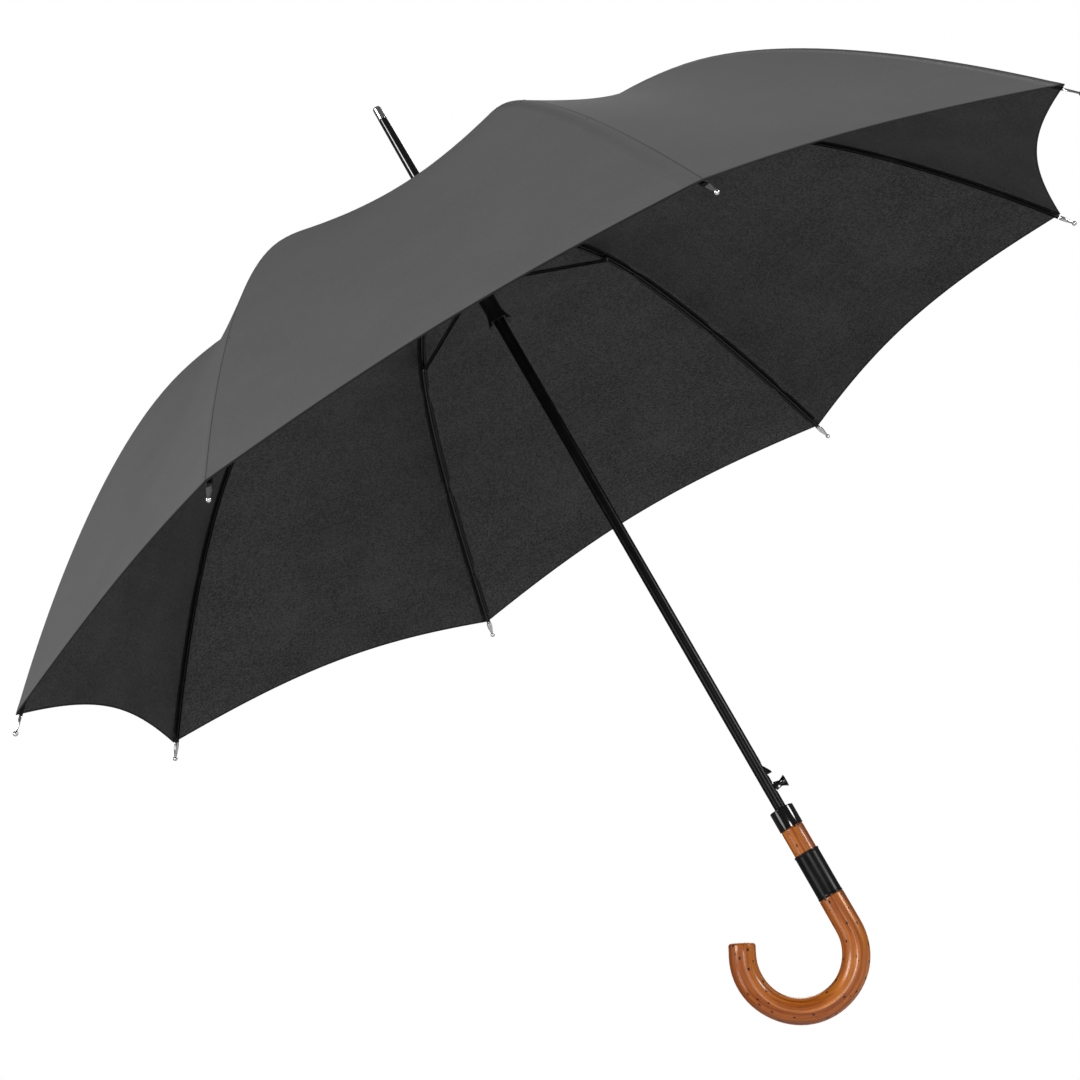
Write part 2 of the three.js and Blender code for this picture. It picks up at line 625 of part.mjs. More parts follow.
function add(name, geometry, material, bearing = 0) {
  const mesh = new THREE.Mesh(geometry, material);
  mesh.name = name;
  mesh.rotation.z = rad(bearing);
  umbrella.add(mesh);
}

add('handle_crook', handleCrook(), wood);
add('handle_band', handleBand(), blackPlastic);
add('handle_collar', handleCollar(), blackPlastic);
add('shaft_tube', shaftTube(), blackSteel);
add('lever_pin', leverPin(), springSteel);
add('catch_lever', catchLever(), blackSteel);
add('release_button', releaseButton(), blackSteel);
add('button_spring', buttonSpring(), springSteel);
add('runner', runner(), blackPlastic);
add('runner_wire', wireRing(runnerPivot.y), springSteel);
add('runner_pin', runnerPin(), springSteel);
add('opening_spring', openingSpring(), springSteel);
add('top_notch', topNotch(), blackPlastic);
add('notch_wire', wireRing(notchZ), springSteel);
add('crown_cap', crownCap(), blackPlastic);
add('ferrule_tube', ferruleTube(), blackPlastic);
add('spring_anchor_pin', springAnchorPin(), springSteel);
add('ferrule_cap', ferruleCap(), chrome);

for (let k = 1; k <= RIBS; k += 1) {
  const bearing = FIRST_RIB + (k - 1) * 360 / RIBS;
  add(`rib_inner_${k}`, ribInner(), blackSteel, bearing);
  add(`rib_outer_${k}`, ribOuter(), blackSteel, bearing);
  add(`rib_tip_${k}`, ribTip(), chrome, bearing);
  add(`stretcher_${k}`, stretcher(), blackSteel, bearing);
  add(`canopy_panel_${k}`, canopyPanel(), greyCloth, bearing);
}

const strapBearing = FIRST_RIB + (STRAP_RIB - 1) * 360 / RIBS;
add('closure_strap', closureStrap(), greyCloth, strapBearing);
add('strap_stud', closed(strapStud()), chrome, strapBearing);

export default umbrella;
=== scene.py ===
import json
from math import cos, hypot, pi, radians, sin, tau

import bmesh
import bpy
from mathutils import Matrix, Vector


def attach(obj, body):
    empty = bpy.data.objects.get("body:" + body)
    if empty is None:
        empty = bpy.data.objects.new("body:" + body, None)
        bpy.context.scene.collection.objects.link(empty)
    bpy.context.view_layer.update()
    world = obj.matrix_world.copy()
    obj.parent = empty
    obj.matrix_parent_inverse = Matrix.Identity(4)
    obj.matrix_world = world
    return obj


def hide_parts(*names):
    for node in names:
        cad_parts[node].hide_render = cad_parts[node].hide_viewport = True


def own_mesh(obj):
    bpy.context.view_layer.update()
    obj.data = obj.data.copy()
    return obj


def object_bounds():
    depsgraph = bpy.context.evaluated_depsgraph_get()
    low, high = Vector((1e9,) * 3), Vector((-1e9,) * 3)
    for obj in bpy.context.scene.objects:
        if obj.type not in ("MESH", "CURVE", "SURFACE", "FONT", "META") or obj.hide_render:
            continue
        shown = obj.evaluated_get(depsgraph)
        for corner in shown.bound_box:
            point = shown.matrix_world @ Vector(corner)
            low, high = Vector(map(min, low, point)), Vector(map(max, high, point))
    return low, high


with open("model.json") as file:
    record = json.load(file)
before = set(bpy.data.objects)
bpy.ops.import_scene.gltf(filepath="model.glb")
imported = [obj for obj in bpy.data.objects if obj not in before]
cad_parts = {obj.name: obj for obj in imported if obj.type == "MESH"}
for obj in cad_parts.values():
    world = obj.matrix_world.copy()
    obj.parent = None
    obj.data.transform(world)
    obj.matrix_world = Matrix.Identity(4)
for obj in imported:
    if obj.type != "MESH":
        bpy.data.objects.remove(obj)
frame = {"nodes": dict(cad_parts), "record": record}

cad_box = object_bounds()
joints = {j["name"]: j for j in frame["record"]["behaviour"]["joints"]}
notch_pivot = Vector(joints["fold_1"]["pos_m"])
runner_pivot = Vector(joints["runner_hinge"]["pos_m"])
PIVOT_R = hypot(notch_pivot.x, notch_pivot.y)
NOTCH_Z = notch_pivot.z
RUNNER_Z = runner_pivot.z

# ---- Camera, light and floor ----
# The umbrella is held up in plain studio light. The camera stands low and looks up under the canopy through a
# long lens, and is rolled so that the handle points down to the right.
RIM_Z = 0.416
VIEW_RISE = radians(-11.767)
VIEW_ROLL = radians(-29.671)
VIEW_DISTANCE = 2.2808
VIEW_ASIDE = (-0.02887, -0.07749)
LENS = 88.43

back = Vector((0, -cos(VIEW_RISE), sin(VIEW_RISE)))
level_right = Vector((1, 0, 0))
level_up = back.cross(level_right)
right = cos(VIEW_ROLL) * level_right + sin(VIEW_ROLL) * level_up
up = cos(VIEW_ROLL) * level_up - sin(VIEW_ROLL) * level_right
eye = Vector((0, 0, RIM_Z)) + VIEW_DISTANCE * back + VIEW_ASIDE[0] * right + VIEW_ASIDE[1] * up
camera = bpy.data.objects.new("camera", bpy.data.cameras.new("camera"))
camera.data.lens = LENS
camera.data.clip_end = 30
camera.matrix_world = Matrix((
    (right.x, up.x, back.x, eye.x),
    (right.y, up.y, back.y, eye.y),
    (right.z, up.z, back.z, eye.z),
    (0, 0, 0, 1),
))
bpy.context.collection.objects.link(camera)
bpy.context.scene.camera = camera
bpy.context.scene.view_settings.view_transform = "Standard"


def softbox(name, place, aim, size, watts):
    """A round soft light at a place, turned towards its aim."""
    light = bpy.data.objects.new(name, bpy.data.lights.new(name, "AREA"))
    light.data.shape = "DISK"
    light.data.size = size
    light.data.energy = watts
    light.location = place
    light.rotation_euler = (Vector(aim) - Vector(place)).to_track_quat("-Z", "Y").to_euler()
    bpy.context.collection.objects.link(light)


softbox("key_light", (-2.4, -2.6, 2.3), (0, 0, 0.5), 1.5, 88)
softbox("side_light", (2.3, -0.8, 0.3), (0, 0, 0.1), 0.6, 20)
softbox("handle_light", (-2.2, -1.2, 0.2), (0, 0, 0.1), 0.9, 9)
softbox("under_light", (0.3, -2.3, -0.3), (0, 0, 0.5), 0.5, 14)
softbox("back_light", (0.6, 3.0, 1.6), (0, 0, 0.4), 1.4, 20)

ROOM_LIGHT = 0.12
world = bpy.data.worlds.new("studio")
world.use_nodes = True
tree = world.node_tree
tree.nodes.clear()
seen = tree.nodes.new("ShaderNodeBackground")
seen.inputs["Color"].default_value = (1, 1, 1, 1)
lit = tree.nodes.new("ShaderNodeBackground")
lit.inputs["Color"].default_value = (1, 1, 1, 1)
lit.inputs["Strength"].default_value = ROOM_LIGHT
ray = tree.nodes.new("ShaderNodeLightPath")
either = tree.nodes.new("ShaderNodeMixShader")
out = tree.nodes.new("ShaderNodeOutputWorld")
tree.links.new(ray.outputs["Is Camera Ray"], either.inputs[0])
tree.links.new(lit.outputs[0], either.inputs[1])
tree.links.new(seen.outputs[0], either.inputs[2])
tree.links.new(either.outputs[0], out.inputs["Surface"])
bpy.context.scene.world = world

FLOOR_DROP = 0.95
FLOOR_R = 3.2
floor_place = (0, 0, cad_box[0][2] - FLOOR_DROP)
bpy.ops.mesh.primitive_circle_add(vertices=96, radius=FLOOR_R, fill_type="NGON", location=floor_place)
floor = bpy.context.object
floor.name = "floor"
pale = bpy.data.materials.new("pale_floor")
pale.use_nodes = True
pale.node_tree.nodes["Principled BSDF"].inputs["Base Color"].default_value = (0.86, 0.86, 0.86, 1)
pale.node_tree.nodes["Principled BSDF"].inputs["Roughness"].default_value = 0.9
floor.data.materials.append(pale)

# ---- Crook handle ----
# One wooden rod, steamed and bent to a crook, sanded, stained orange-brown and varnished to a gloss.
# Its top is turned down to a neck that the collar covers, and drilled for the shaft, which is glued in.
CROOK_CENTRE_Z = -0.0489
CROOK_BEND = 0.0467
CROOK_TURN = radians(207)
CROOK_END = 0.0085
CROOK_R = 0.0113
GRIP_R = 0.0099
NECK_R = 0.009
BORE_R = 0.0053
BORE_BOTTOM = 0.005
HANDLE_TOP = 0.058
NECK_BOTTOM = 0.0437
BAND_SEAT = -0.0208
BEND_STEPS = 42
AROUND = 48


def shader(name, roughness, metallic=0.0, coat=0.0, coat_roughness=0.05, specular=0.5):
    """A material with its even values on its shader's own sockets, and its nodes, links and shader."""
    material = bpy.data.materials.new(name)
    material.use_nodes = True
    nodes = material.node_tree.nodes
    surface = nodes["Principled BSDF"]
    surface.inputs["Roughness"].default_value = roughness
    surface.inputs["Metallic"].default_value = metallic
    surface.inputs["Coat Weight"].default_value = coat
    surface.inputs["Coat Roughness"].default_value = coat_roughness
    surface.inputs["Specular IOR Level"].default_value = specular
    return material, nodes, material.node_tree.links, surface


def node(nodes, kind, **values):
    """A node with its settings and its unlinked inputs given by name."""
    made = nodes.new("ShaderNode" + kind)
    for key, value in values.items():
        if key in made.inputs:
            made.inputs[key].default_value = value
        else:
            setattr(made, key, value)
    return made


def ramp(nodes, *stops):
    """A colour ramp with the given (place, colour) stops."""
    made = nodes.new("ShaderNodeValToRGB")
    while len(made.color_ramp.elements) < len(stops):
        made.color_ramp.elements.new(0.5)
    for element, (place, colour) in zip(made.color_ramp.elements, stops):
        element.position = place
        element.color = (*colour, 1) if len(colour) == 3 else (colour[0],) * 3 + (1,)
    return made


def bump(nodes, links, surface, height, strength, distance):
    """Relief in a shader's surface, from a height between 0 and 1."""
    made = node(nodes, "Bump", Strength=strength, Distance=distance)
    links.new(height, made.inputs["Height"])
    links.new(made.outputs["Normal"], surface.inputs["Normal"])


def varnished_wood():
    """Stained wood under varnish: broad figure, fine lengthwise grain and patches of dark pores."""
    finish = shader("varnished_wood", 0.42, coat=0.45, coat_roughness=0.16, specular=0.3)
    material, nodes, links, surface = finish
    grain = node(nodes, "Attribute", attribute_name="grain")
    stretch = node(nodes, "Mapping", Scale=(9, 170, 170))
    links.new(grain.outputs["Vector"], stretch.inputs["Vector"])
    broad = node(nodes, "TexNoise", Scale=1.0, Detail=5.0, Roughness=0.62, Distortion=0.35)
    links.new(stretch.outputs["Vector"], broad.inputs["Vector"])
    tone = ramp(nodes, (0.30, (0.14, 0.020, 0.002)), (0.44, (0.36, 0.083, 0.007)),
                (0.56, (0.55, 0.155, 0.012)), (0.72, (0.74, 0.262, 0.028)))
    links.new(broad.outputs["Fac"], tone.inputs["Fac"])
    fine_stretch = node(nodes, "Mapping", Scale=(30, 900, 900))
    links.new(grain.outputs["Vector"], fine_stretch.inputs["Vector"])
    fine = node(nodes, "TexNoise", Scale=1.0, Detail=3.0, Roughness=0.6)
    links.new(fine_stretch.outputs["Vector"], fine.inputs["Vector"])
    fine_tone = ramp(nodes, (0.36, (0.62,)), (0.6, (1.0,)))
    links.new(fine.outputs["Fac"], fine_tone.inputs["Fac"])
    streaked = node(nodes, "Mix", data_type="RGBA", blend_type="MULTIPLY")
    streaked.inputs[0].default_value = 0.75
    links.new(tone.outputs["Color"], streaked.inputs[6])
    links.new(fine_tone.outputs["Color"], streaked.inputs[7])
    pore_stretch = node(nodes, "Mapping", Scale=(130, 180, 180))
    links.new(grain.outputs["Vector"], pore_stretch.inputs["Vector"])
    pores = node(nodes, "TexVoronoi", Scale=1.0, Randomness=1.0)
    links.new(pore_stretch.outputs["Vector"], pores.inputs["Vector"])
    pore = ramp(nodes, (0.16, (1.0,)), (0.20, (0.0,)))
    links.new(pores.outputs["Distance"], pore.inputs["Fac"])
    patch_stretch = node(nodes, "Mapping", Scale=(38, 120, 120))
    links.new(grain.outputs["Vector"], patch_stretch.inputs["Vector"])
    patches = node(nodes, "TexNoise", Scale=1.0, Detail=2.0)
    links.new(patch_stretch.outputs["Vector"], patches.inputs["Vector"])
    patch = ramp(nodes, (0.38, (0.0,)), (0.48, (1.0,)))
    links.new(patches.outputs["Fac"], patch.inputs["Fac"])
    specks = node(nodes, "Math", operation="MULTIPLY")
    links.new(pore.outputs["Color"], specks.inputs[0])
    links.new(patch.outputs["Color"], specks.inputs[1])
    final = node(nodes, "Mix", data_type="RGBA")
    final.inputs[7].default_value = (0.014, 0.004, 0.001, 1)
    links.new(specks.outputs[0], final.inputs[0])
    links.new(streaked.outputs[2], final.inputs[6])
    links.new(final.outputs[2], surface.inputs["Base Color"])
    bump(nodes, links, surface, fine.outputs["Fac"], 0.05, 0.0001)
    return material


def mark_sharp(mesh, limit=radians(35)):
    """Smooth shading, with a crisp edge wherever two faces meet at more than the limit."""
    made = bmesh.new()
    made.from_mesh(mesh)
    bmesh.ops.recalc_face_normals(made, faces=made.faces)
    for face in made.faces:
        face.smooth = True
    for edge in made.edges:
        edge.smooth = edge.is_manifold and edge.calc_face_angle(0) < limit
    made.to_mesh(mesh)
    made.free()


def piece(name, points, faces, body, slot, material, replaces=()):
    """A mesh object with its material, riding on its body, standing for the CAD nodes that it replaces."""
    mesh = bpy.data.meshes.new(name)
    mesh.from_pydata([tuple(p) for p in points], [], faces)
    mesh.materials.append(material)
    mark_sharp(mesh)
    made = bpy.data.objects.new(name, mesh)
    bpy.context.collection.objects.link(made)
    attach(made, body)
    if replaces:
        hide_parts(*replaces)
    return made


def rings(loops, closed=False):
    """Points and faces that join equal loops of points in order; open ends are filled."""
    count = len(loops[0])
    points = [p for loop in loops for p in loop]
    spans = len(loops) if closed else len(loops) - 1
    faces = []
    for j in range(spans):
        a, b = j * count, (j + 1) % len(loops) * count
        faces += [(a + i, a + (i + 1) % count, b + (i + 1) % count, b + i) for i in range(count)]
    if not closed:
        faces += [tuple(range(count))[::-1], tuple(range(len(points) - count, len(points)))]
    return points, faces


def circle(centre, across, over, radius, count=AROUND):
    """Even points of a circle, from its two directions."""
    turns = [tau * i / count for i in range(count)]
    return [centre + radius * (cos(turn) * across + sin(turn) * over) for turn in turns]


X, Y, Z = Vector((1, 0, 0)), Vector((0, 1, 0)), Vector((0, 0, 1))
TINY = 0.00001


def crook_stations():
    """Middle, outward direction, radius and length run, from the bore's bottom up, over and round."""
    straight = [(BORE_BOTTOM, TINY), (BORE_BOTTOM, BORE_R), (HANDLE_TOP, BORE_R),
                (HANDLE_TOP, NECK_R - 0.001), (HANDLE_TOP - 0.001, NECK_R), (NECK_BOTTOM, NECK_R),
                (NECK_BOTTOM, GRIP_R - 0.0006), (NECK_BOTTOM - 0.0004, GRIP_R - 0.0002),
                (NECK_BOTTOM - 0.0012, GRIP_R), (0.03, GRIP_R), (0.0, GRIP_R), (BAND_SEAT, GRIP_R),
                (BAND_SEAT, 0.0106), (BAND_SEAT - 0.0004, 0.0109), (BAND_SEAT - 0.0012, 0.0110),
                (-0.034, 0.01105)]
    found = [(Vector((0, 0, z)), X, r, HANDLE_TOP - z) for z, r in straight]
    start = HANDLE_TOP - CROOK_CENTRE_Z
    centre = Vector((-CROOK_BEND, 0, CROOK_CENTRE_Z))
    for i in range(BEND_STEPS + 1):
        turn = CROOK_TURN * i / BEND_STEPS
        outward = Vector((cos(turn), 0, -sin(turn)))
        # The sander leaves the rod a hair uneven round the bend.
        radius = CROOK_R + 0.0002 * sin(turn * 2.3) - 0.00015 * cos(turn * 5)
        found.append((centre + CROOK_BEND * outward, outward, radius, start + CROOK_BEND * turn))
    end = start + CROOK_BEND * CROOK_TURN
    last, outward = found[-1][:2]
    onward = Vector((outward.z, 0, -outward.x))
    for run, cut in ((0.003, 0), (CROOK_END, 0), (CROOK_END + 0.0006, 0.0002), (CROOK_END + 0.0012, 0.0006),
                     (CROOK_END + 0.0017, 0.0013), (CROOK_END + 0.0021, 0.0023), (CROOK_END + 0.0024, 0.0042),
                     (CROOK_END + 0.00255, 0.0075), (CROOK_END + 0.0026, CROOK_R - TINY)):
        found.append((last + run * onward, outward, CROOK_R - cut, end + run))
    return found


stations = crook_stations()
loops = [circle(centre, outward, Y, radius) for centre, outward, radius, run in stations]
points, faces = rings(loops)
crook = piece("crook", points, faces, "handle_and_shaft", "crook_wood", varnished_wood(), ["handle_crook"])
grain = crook.data.attributes.new("grain", "FLOAT_VECTOR", "POINT")
flow = []
for centre, outward, radius, run in stations:
    for i in range(AROUND):
        turn = tau * i / AROUND
        flow += [run, CROOK_R * cos(turn), CROOK_R * sin(turn)]
grain.data.foreach_set("vector", flow)

# ---- Collar and grip band ----
# The collar is a gloss-black moulded cap that hides where the shaft enters the wood.
# The band is a thin black sleeve with rolled edges, pushed down over the wood to a shoulder.
COLLAR_LOW = 0.044
COLLAR_HIGH = 0.062
COLLAR_R = 0.0105
BAND_HALF = 0.0205
BAND_R = 0.01075
BAND_EDGE_R = BAND_R + 0.00035


def black_finish(name, tone, roughness, speck, coat=0.0, specular=0.5):
    """Black paint or plastic: faint mottling in its colour and gloss, and fine orange-peel in its surface."""
    material, nodes, links, surface = shader(name, roughness, coat=coat, specular=specular)
    place = node(nodes, "TexCoord")
    cloud = node(nodes, "TexNoise", Scale=55.0, Detail=4.0, Roughness=0.6)
    links.new(place.outputs["Object"], cloud.inputs["Vector"])
    colour = ramp(nodes, (0.3, tuple(c * 0.7 for c in tone)), (0.7, tuple(c * 1.35 for c in tone)))
    links.new(cloud.outputs["Fac"], colour.inputs["Fac"])
    links.new(colour.outputs["Color"], surface.inputs["Base Color"])
    rub = node(nodes, "MapRange")
    rub.inputs[3].default_value = roughness * 0.75
    rub.inputs[4].default_value = roughness * 1.3
    links.new(cloud.outputs["Fac"], rub.inputs[0])
    links.new(rub.outputs[0], surface.inputs["Roughness"])
    peel = node(nodes, "TexNoise", Scale=speck, Detail=2.0)
    links.new(place.outputs["Object"], peel.inputs["Vector"])
    bump(nodes, links, surface, peel.outputs["Fac"], 0.04, 0.00004)
    return material


def round_corners(profile, radius, steps=3):
    """A profile of (radius, height) with every corner that is not on the axis rounded off."""
    smooth = []
    count = len(profile)
    for i, point in enumerate(profile):
        here, before, after = Vector(point), Vector(profile[i - 1]), Vector(profile[(i + 1) % count])
        into, away = here - before, after - here
        if here.x < TINY * 2 or into.length < TINY or away.length < TINY:
            smooth.append(here)
            continue
        if into.angle(away) < radians(12):
            smooth.append(here)
            continue
        reach = min(radius, into.length * 0.45, away.length * 0.45)
        first, last = here - reach * into.normalized(), here + reach * away.normalized()
        for k in range(steps + 1):
            t = k / steps
            smooth.append((1 - t) ** 2 * first + 2 * t * (1 - t) * here + t * t * last)
    return smooth


def turned(profile, ring=True, corner=0.0003, count=AROUND, axis="Z"):
    """Points and faces of a turned piece; a ring's profile closes on itself, the others end on the axis."""
    smooth = round_corners(profile, corner)
    ways = {"Z": (X, Y, Z), "X": (Y, Z, X)}[axis]
    loops = [circle(p.y * ways[2], ways[0], ways[1], max(p.x, TINY), count) for p in smooth]
    return rings(loops, closed=ring)


gloss_black = black_finish("gloss_black", (0.004, 0.004, 0.004), 0.12, 900, coat=0.3)
band_black = black_finish("band_black", (0.004, 0.004, 0.004), 0.3, 1600, specular=0.22)
profile = [(NECK_R + 0.0003, COLLAR_LOW), (COLLAR_R, COLLAR_LOW), (COLLAR_R, COLLAR_HIGH - 0.0006),
           (COLLAR_R - 0.0006, COLLAR_HIGH), (BORE_R, COLLAR_HIGH), (BORE_R, HANDLE_TOP + 0.0003),
           (NECK_R + 0.0003, HANDLE_TOP + 0.0003)]
points, faces = turned(profile, corner=0.0002)
piece("collar", points, faces, "handle_and_shaft", "gloss_plastic", gloss_black, ["handle_collar"])
inner = GRIP_R + 0.0003
profile = [(inner, -BAND_HALF), (BAND_EDGE_R, -BAND_HALF), (BAND_EDGE_R, -BAND_HALF + 0.0014),
           (BAND_R, -BAND_HALF + 0.0021), (BAND_R, BAND_HALF - 0.0021), (BAND_EDGE_R, BAND_HALF - 0.0014),
           (BAND_EDGE_R, BAND_HALF), (inner, BAND_HALF)]
points, faces = turned(profile, corner=0.0004)
piece("grip_band", points, faces, "handle_and_shaft", "band_plastic", band_black, ["handle_band"])

# ---- Shaft ----
# A seamed steel tube, black-enamelled, with a slot for the catch, a slot for the button's stalk, and a long
# slot down its far side for the pin that the opening spring pulls.
SHAFT_R = 0.005
SHAFT_WALL = 0.0008
SHAFT_TOP = NOTCH_Z + 0.010
SHAFT_BOTTOM = 0.0053
CATCH_SLOT = (0.091, 0.1035)
BUTTON_Z = 0.0805
BUTTON_SLOT = (BUTTON_Z - 0.0041, BUTTON_Z + 0.0041)
PIN_SLOT = (0.1165, 0.5778)


def box_mesh(low, high):
    """Points and faces of a box between two corners."""
    sides = list(zip(low, high))
    points = [Vector((x, y, z)) for z in sides[2] for y in sides[1] for x in sides[0]]
    faces = [(0, 2, 3, 1), (4, 5, 7, 6), (0, 1, 5, 4), (2, 6, 7, 3), (0, 4, 6, 2), (1, 3, 7, 5)]
    return points, faces


def cut_away(made, tools):
    """Cuts meshes, each given as points and faces, out of a piece."""
    for points, faces in tools:
        mesh = bpy.data.meshes.new("tool")
        mesh.from_pydata([tuple(p) for p in points], [], faces)
        tool = bpy.data.objects.new("tool", mesh)
        bpy.context.collection.objects.link(tool)
        cutter = made.modifiers.new("cut", "BOOLEAN")
        cutter.object = tool
        cutter.solver = "EXACT"
        bpy.context.view_layer.update()
        cut = made.evaluated_get(bpy.context.evaluated_depsgraph_get())
        finished = bpy.data.meshes.new_from_object(cut)
        made.modifiers.clear()
        made.data = finished
        bpy.data.objects.remove(tool)
    mark_sharp(made.data)


shaft_enamel = black_finish("shaft_enamel", (0.003, 0.003, 0.003), 0.3, 1300, specular=0.2)
inside = SHAFT_R - SHAFT_WALL
profile = [(inside, SHAFT_BOTTOM), (SHAFT_R, SHAFT_BOTTOM), (SHAFT_R, SHAFT_TOP), (inside, SHAFT_TOP)]
points, faces = turned(profile, corner=0.0002)
shaft = piece("shaft", points, faces, "handle_and_shaft", "shaft_steel", shaft_enamel, ["shaft_tube"])
cut_away(shaft, [
    box_mesh((0.001, -0.002, CATCH_SLOT[0]), (0.009, 0.002, CATCH_SLOT[1])),
    box_mesh((0.001, -0.002, BUTTON_SLOT[0]), (0.009, 0.002, BUTTON_SLOT[1])),
    box_mesh((-0.0012, 0.001, PIN_SLOT[0]), (0.0012, 0.009, PIN_SLOT[1])),
])

# ---- Catch and release button ----
# The catch is a pressed steel lever that turns on a pin inside the shaft; its nose holds the closed runner
# down. The button is a flat stalk with a flared, polished head, which pushes the lever back.
LEVER_Z = 0.052
CATCH_Z = 0.092
CATCH_TOP = CATCH_Z + 0.0095
CATCH_REACH = 0.009
CATCH_HALF = 0.0015
LEVER_BACK = 0.0026
LEVER_FRONT = 0.0036
BUTTON_REACH = 0.016
BUTTON_R = 0.0052
STALK_HALF = 0.0017


def bevelled(made, width, segments=2):
    """Rounds every crisp edge of a piece."""
    mesh = bmesh.new()
    mesh.from_mesh(made.data)
    crisp = [e for e in mesh.edges if not e.smooth]
    bmesh.ops.bevel(mesh, geom=crisp, offset=width, segments=segments, affect="EDGES",
                    clamp_overlap=True, profile=0.5)
    mesh.to_mesh(made.data)
    mesh.free()
    mark_sharp(made.data)


def merged(*shapes):
    """Several shapes' points and faces as one."""
    points, faces = [], []
    for more, sides in shapes:
        faces += [tuple(i + len(points) for i in side) for side in sides]
        points += more
    return points, faces


outline = [(LEVER_BACK, LEVER_Z + 0.002), (LEVER_BACK - 0.0014, LEVER_Z + 0.001),
           (LEVER_BACK - 0.0017, LEVER_Z), (LEVER_BACK - 0.001, LEVER_Z - 0.0013),
           (LEVER_BACK, LEVER_Z - 0.0014), (LEVER_FRONT - 0.0002, LEVER_Z - 0.001), (LEVER_FRONT, LEVER_Z),
           (LEVER_FRONT, CATCH_Z + 0.0002), (CATCH_REACH - 0.0004, CATCH_Z), (CATCH_REACH, CATCH_Z + 0.0005),
           (CATCH_REACH - 0.0004, CATCH_Z + 0.0017), (0.0072, CATCH_Z + 0.0042), (0.0056, CATCH_Z + 0.0069),
           (LEVER_FRONT, CATCH_TOP), (LEVER_BACK, CATCH_TOP)]
points, faces = rings([[Vector((x, y, z)) for x, z in outline] for y in (-CATCH_HALF, CATCH_HALF)])
catch = piece("catch", points, faces, "catch", "shaft_steel", shaft_enamel, ["catch_lever"])
bevelled(catch, 0.0002)
stalk = [(0.0039, 0.002), (0.0048, 0.002), (0.0053, 0.0038), (0.0070, 0.00345), (0.0086, 0.0031),
         (0.0100, 0.0028)]
outline = stalk + [(x, -z) for x, z in reversed(stalk)]
flat_stalk = rings([[Vector((x, y, BUTTON_Z + z)) for x, z in outline] for y in (-STALK_HALF, STALK_HALF)])
profile = [(TINY, 0.0096), (0.0026, 0.0096), (0.0027, 0.0104), (0.00295, 0.0112), (0.00335, 0.0122),
           (0.00385, 0.0132), (0.00445, 0.0142), (0.0049, 0.0148), (BUTTON_R, 0.0151), (0.0051, 0.0155),
           (0.0046, 0.0158), (0.0036, 0.01594), (TINY, BUTTON_REACH)]
points, faces = turned(profile, ring=False, corner=0.0001, axis="X")
head = [p + BUTTON_Z * Z for p in points], faces
button = piece("button", *merged(flat_stalk, head), "button", "shaft_steel", gloss_black, ["release_button"])
bevelled(button, 0.00025)

# ---- Runner, its wire ring and its pin; top notch and its wire ring ----
# Both carriers are moulded black nylon with eight slots round a rim; a steel wire ring lies in a groove and
# holds the ends of the stretchers in the runner, and of the ribs in the notch.
RIBS = 8
FIRST_RIB = joints["fold_1"]["pos_m"]
first_bearing = Vector((FIRST_RIB[0], FIRST_RIB[1])).angle_signed(Vector((1, 0)))
CARRIER_R = 0.014
SLEEVE_R = 0.0075
SKIRT_R = 0.0108
RUNNER_DROP = 0.044
WIRE_R = 0.0006
SLOT_HALF = 0.0011
GROOVE = 0.0009
PIN_DROP = 0.014
PIN_HOLE_R = 0.0012


def bearing(k):
    """Direction out from the shaft along rib k."""
    turn = first_bearing + tau * (k - 1) / RIBS
    return Vector((cos(turn), sin(turn), 0))


def slot_tools(low, high):
    """Eight cutters for the slots in a carrier's rim."""
    tools = []
    for k in range(1, RIBS + 1):
        out = bearing(k)
        side = Z.cross(out)
        section = [(0.0078, -SLOT_HALF), (0.02, -SLOT_HALF), (0.02, SLOT_HALF), (0.0078, SLOT_HALF)]
        tools.append(rings([[r * out + s * side + z * Z for r, s in section] for z in (low, high)]))
    return tools


def wire_ring(height, steps=96):
    """The wire that lies in a carrier's groove at a height."""
    loops = []
    for i in range(steps):
        out = Vector((cos(tau * i / steps), sin(tau * i / steps), 0))
        loops.append(circle(PIVOT_R * out + height * Z, out, Z, WIRE_R, 10))
    return rings(loops, closed=True)


def drawn_wire():
    """Bright drawn steel wire, with a little tarnish in its colour and surface."""
    material, nodes, links, surface = shader("drawn_wire", 0.3, metallic=1.0)
    place = node(nodes, "TexCoord")
    tarnish = node(nodes, "TexNoise", Scale=220.0, Detail=3.0)
    links.new(place.outputs["Object"], tarnish.inputs["Vector"])
    colour = ramp(nodes, (0.3, (0.30, 0.29, 0.28)), (0.7, (0.56, 0.56, 0.57)))
    links.new(tarnish.outputs["Fac"], colour.inputs["Fac"])
    links.new(colour.outputs["Color"], surface.inputs["Base Color"])
    bump(nodes, links, surface, tarnish.outputs["Fac"], 0.1, 0.0001)
    return material


carrier_black = black_finish("carrier_black", (0.004, 0.004, 0.004), 0.34, 2200)
spring_wire = drawn_wire()
bore = SHAFT_R + 0.00035
low, high = RUNNER_Z - RUNNER_DROP, RUNNER_Z + 0.0045
profile = [(bore, low), (SKIRT_R, low), (SKIRT_R, low + 0.0012), (0.0094, low + 0.0042),
           (0.0083, low + 0.0085), (SLEEVE_R, low + 0.0125), (SLEEVE_R, RUNNER_Z - 0.016),
           (SLEEVE_R + 0.0008, RUNNER_Z - 0.0145), (SLEEVE_R + 0.0008, RUNNER_Z - 0.006),
           (CARRIER_R - 0.0015, RUNNER_Z - 0.0045), (CARRIER_R, RUNNER_Z - 0.003), (CARRIER_R, high),
           (PIVOT_R + GROOVE, high), (PIVOT_R + GROOVE, RUNNER_Z - GROOVE),
           (PIVOT_R - GROOVE, RUNNER_Z - GROOVE), (PIVOT_R - GROOVE, high), (bore, high)]
points, faces = turned(profile, corner=0.0003)
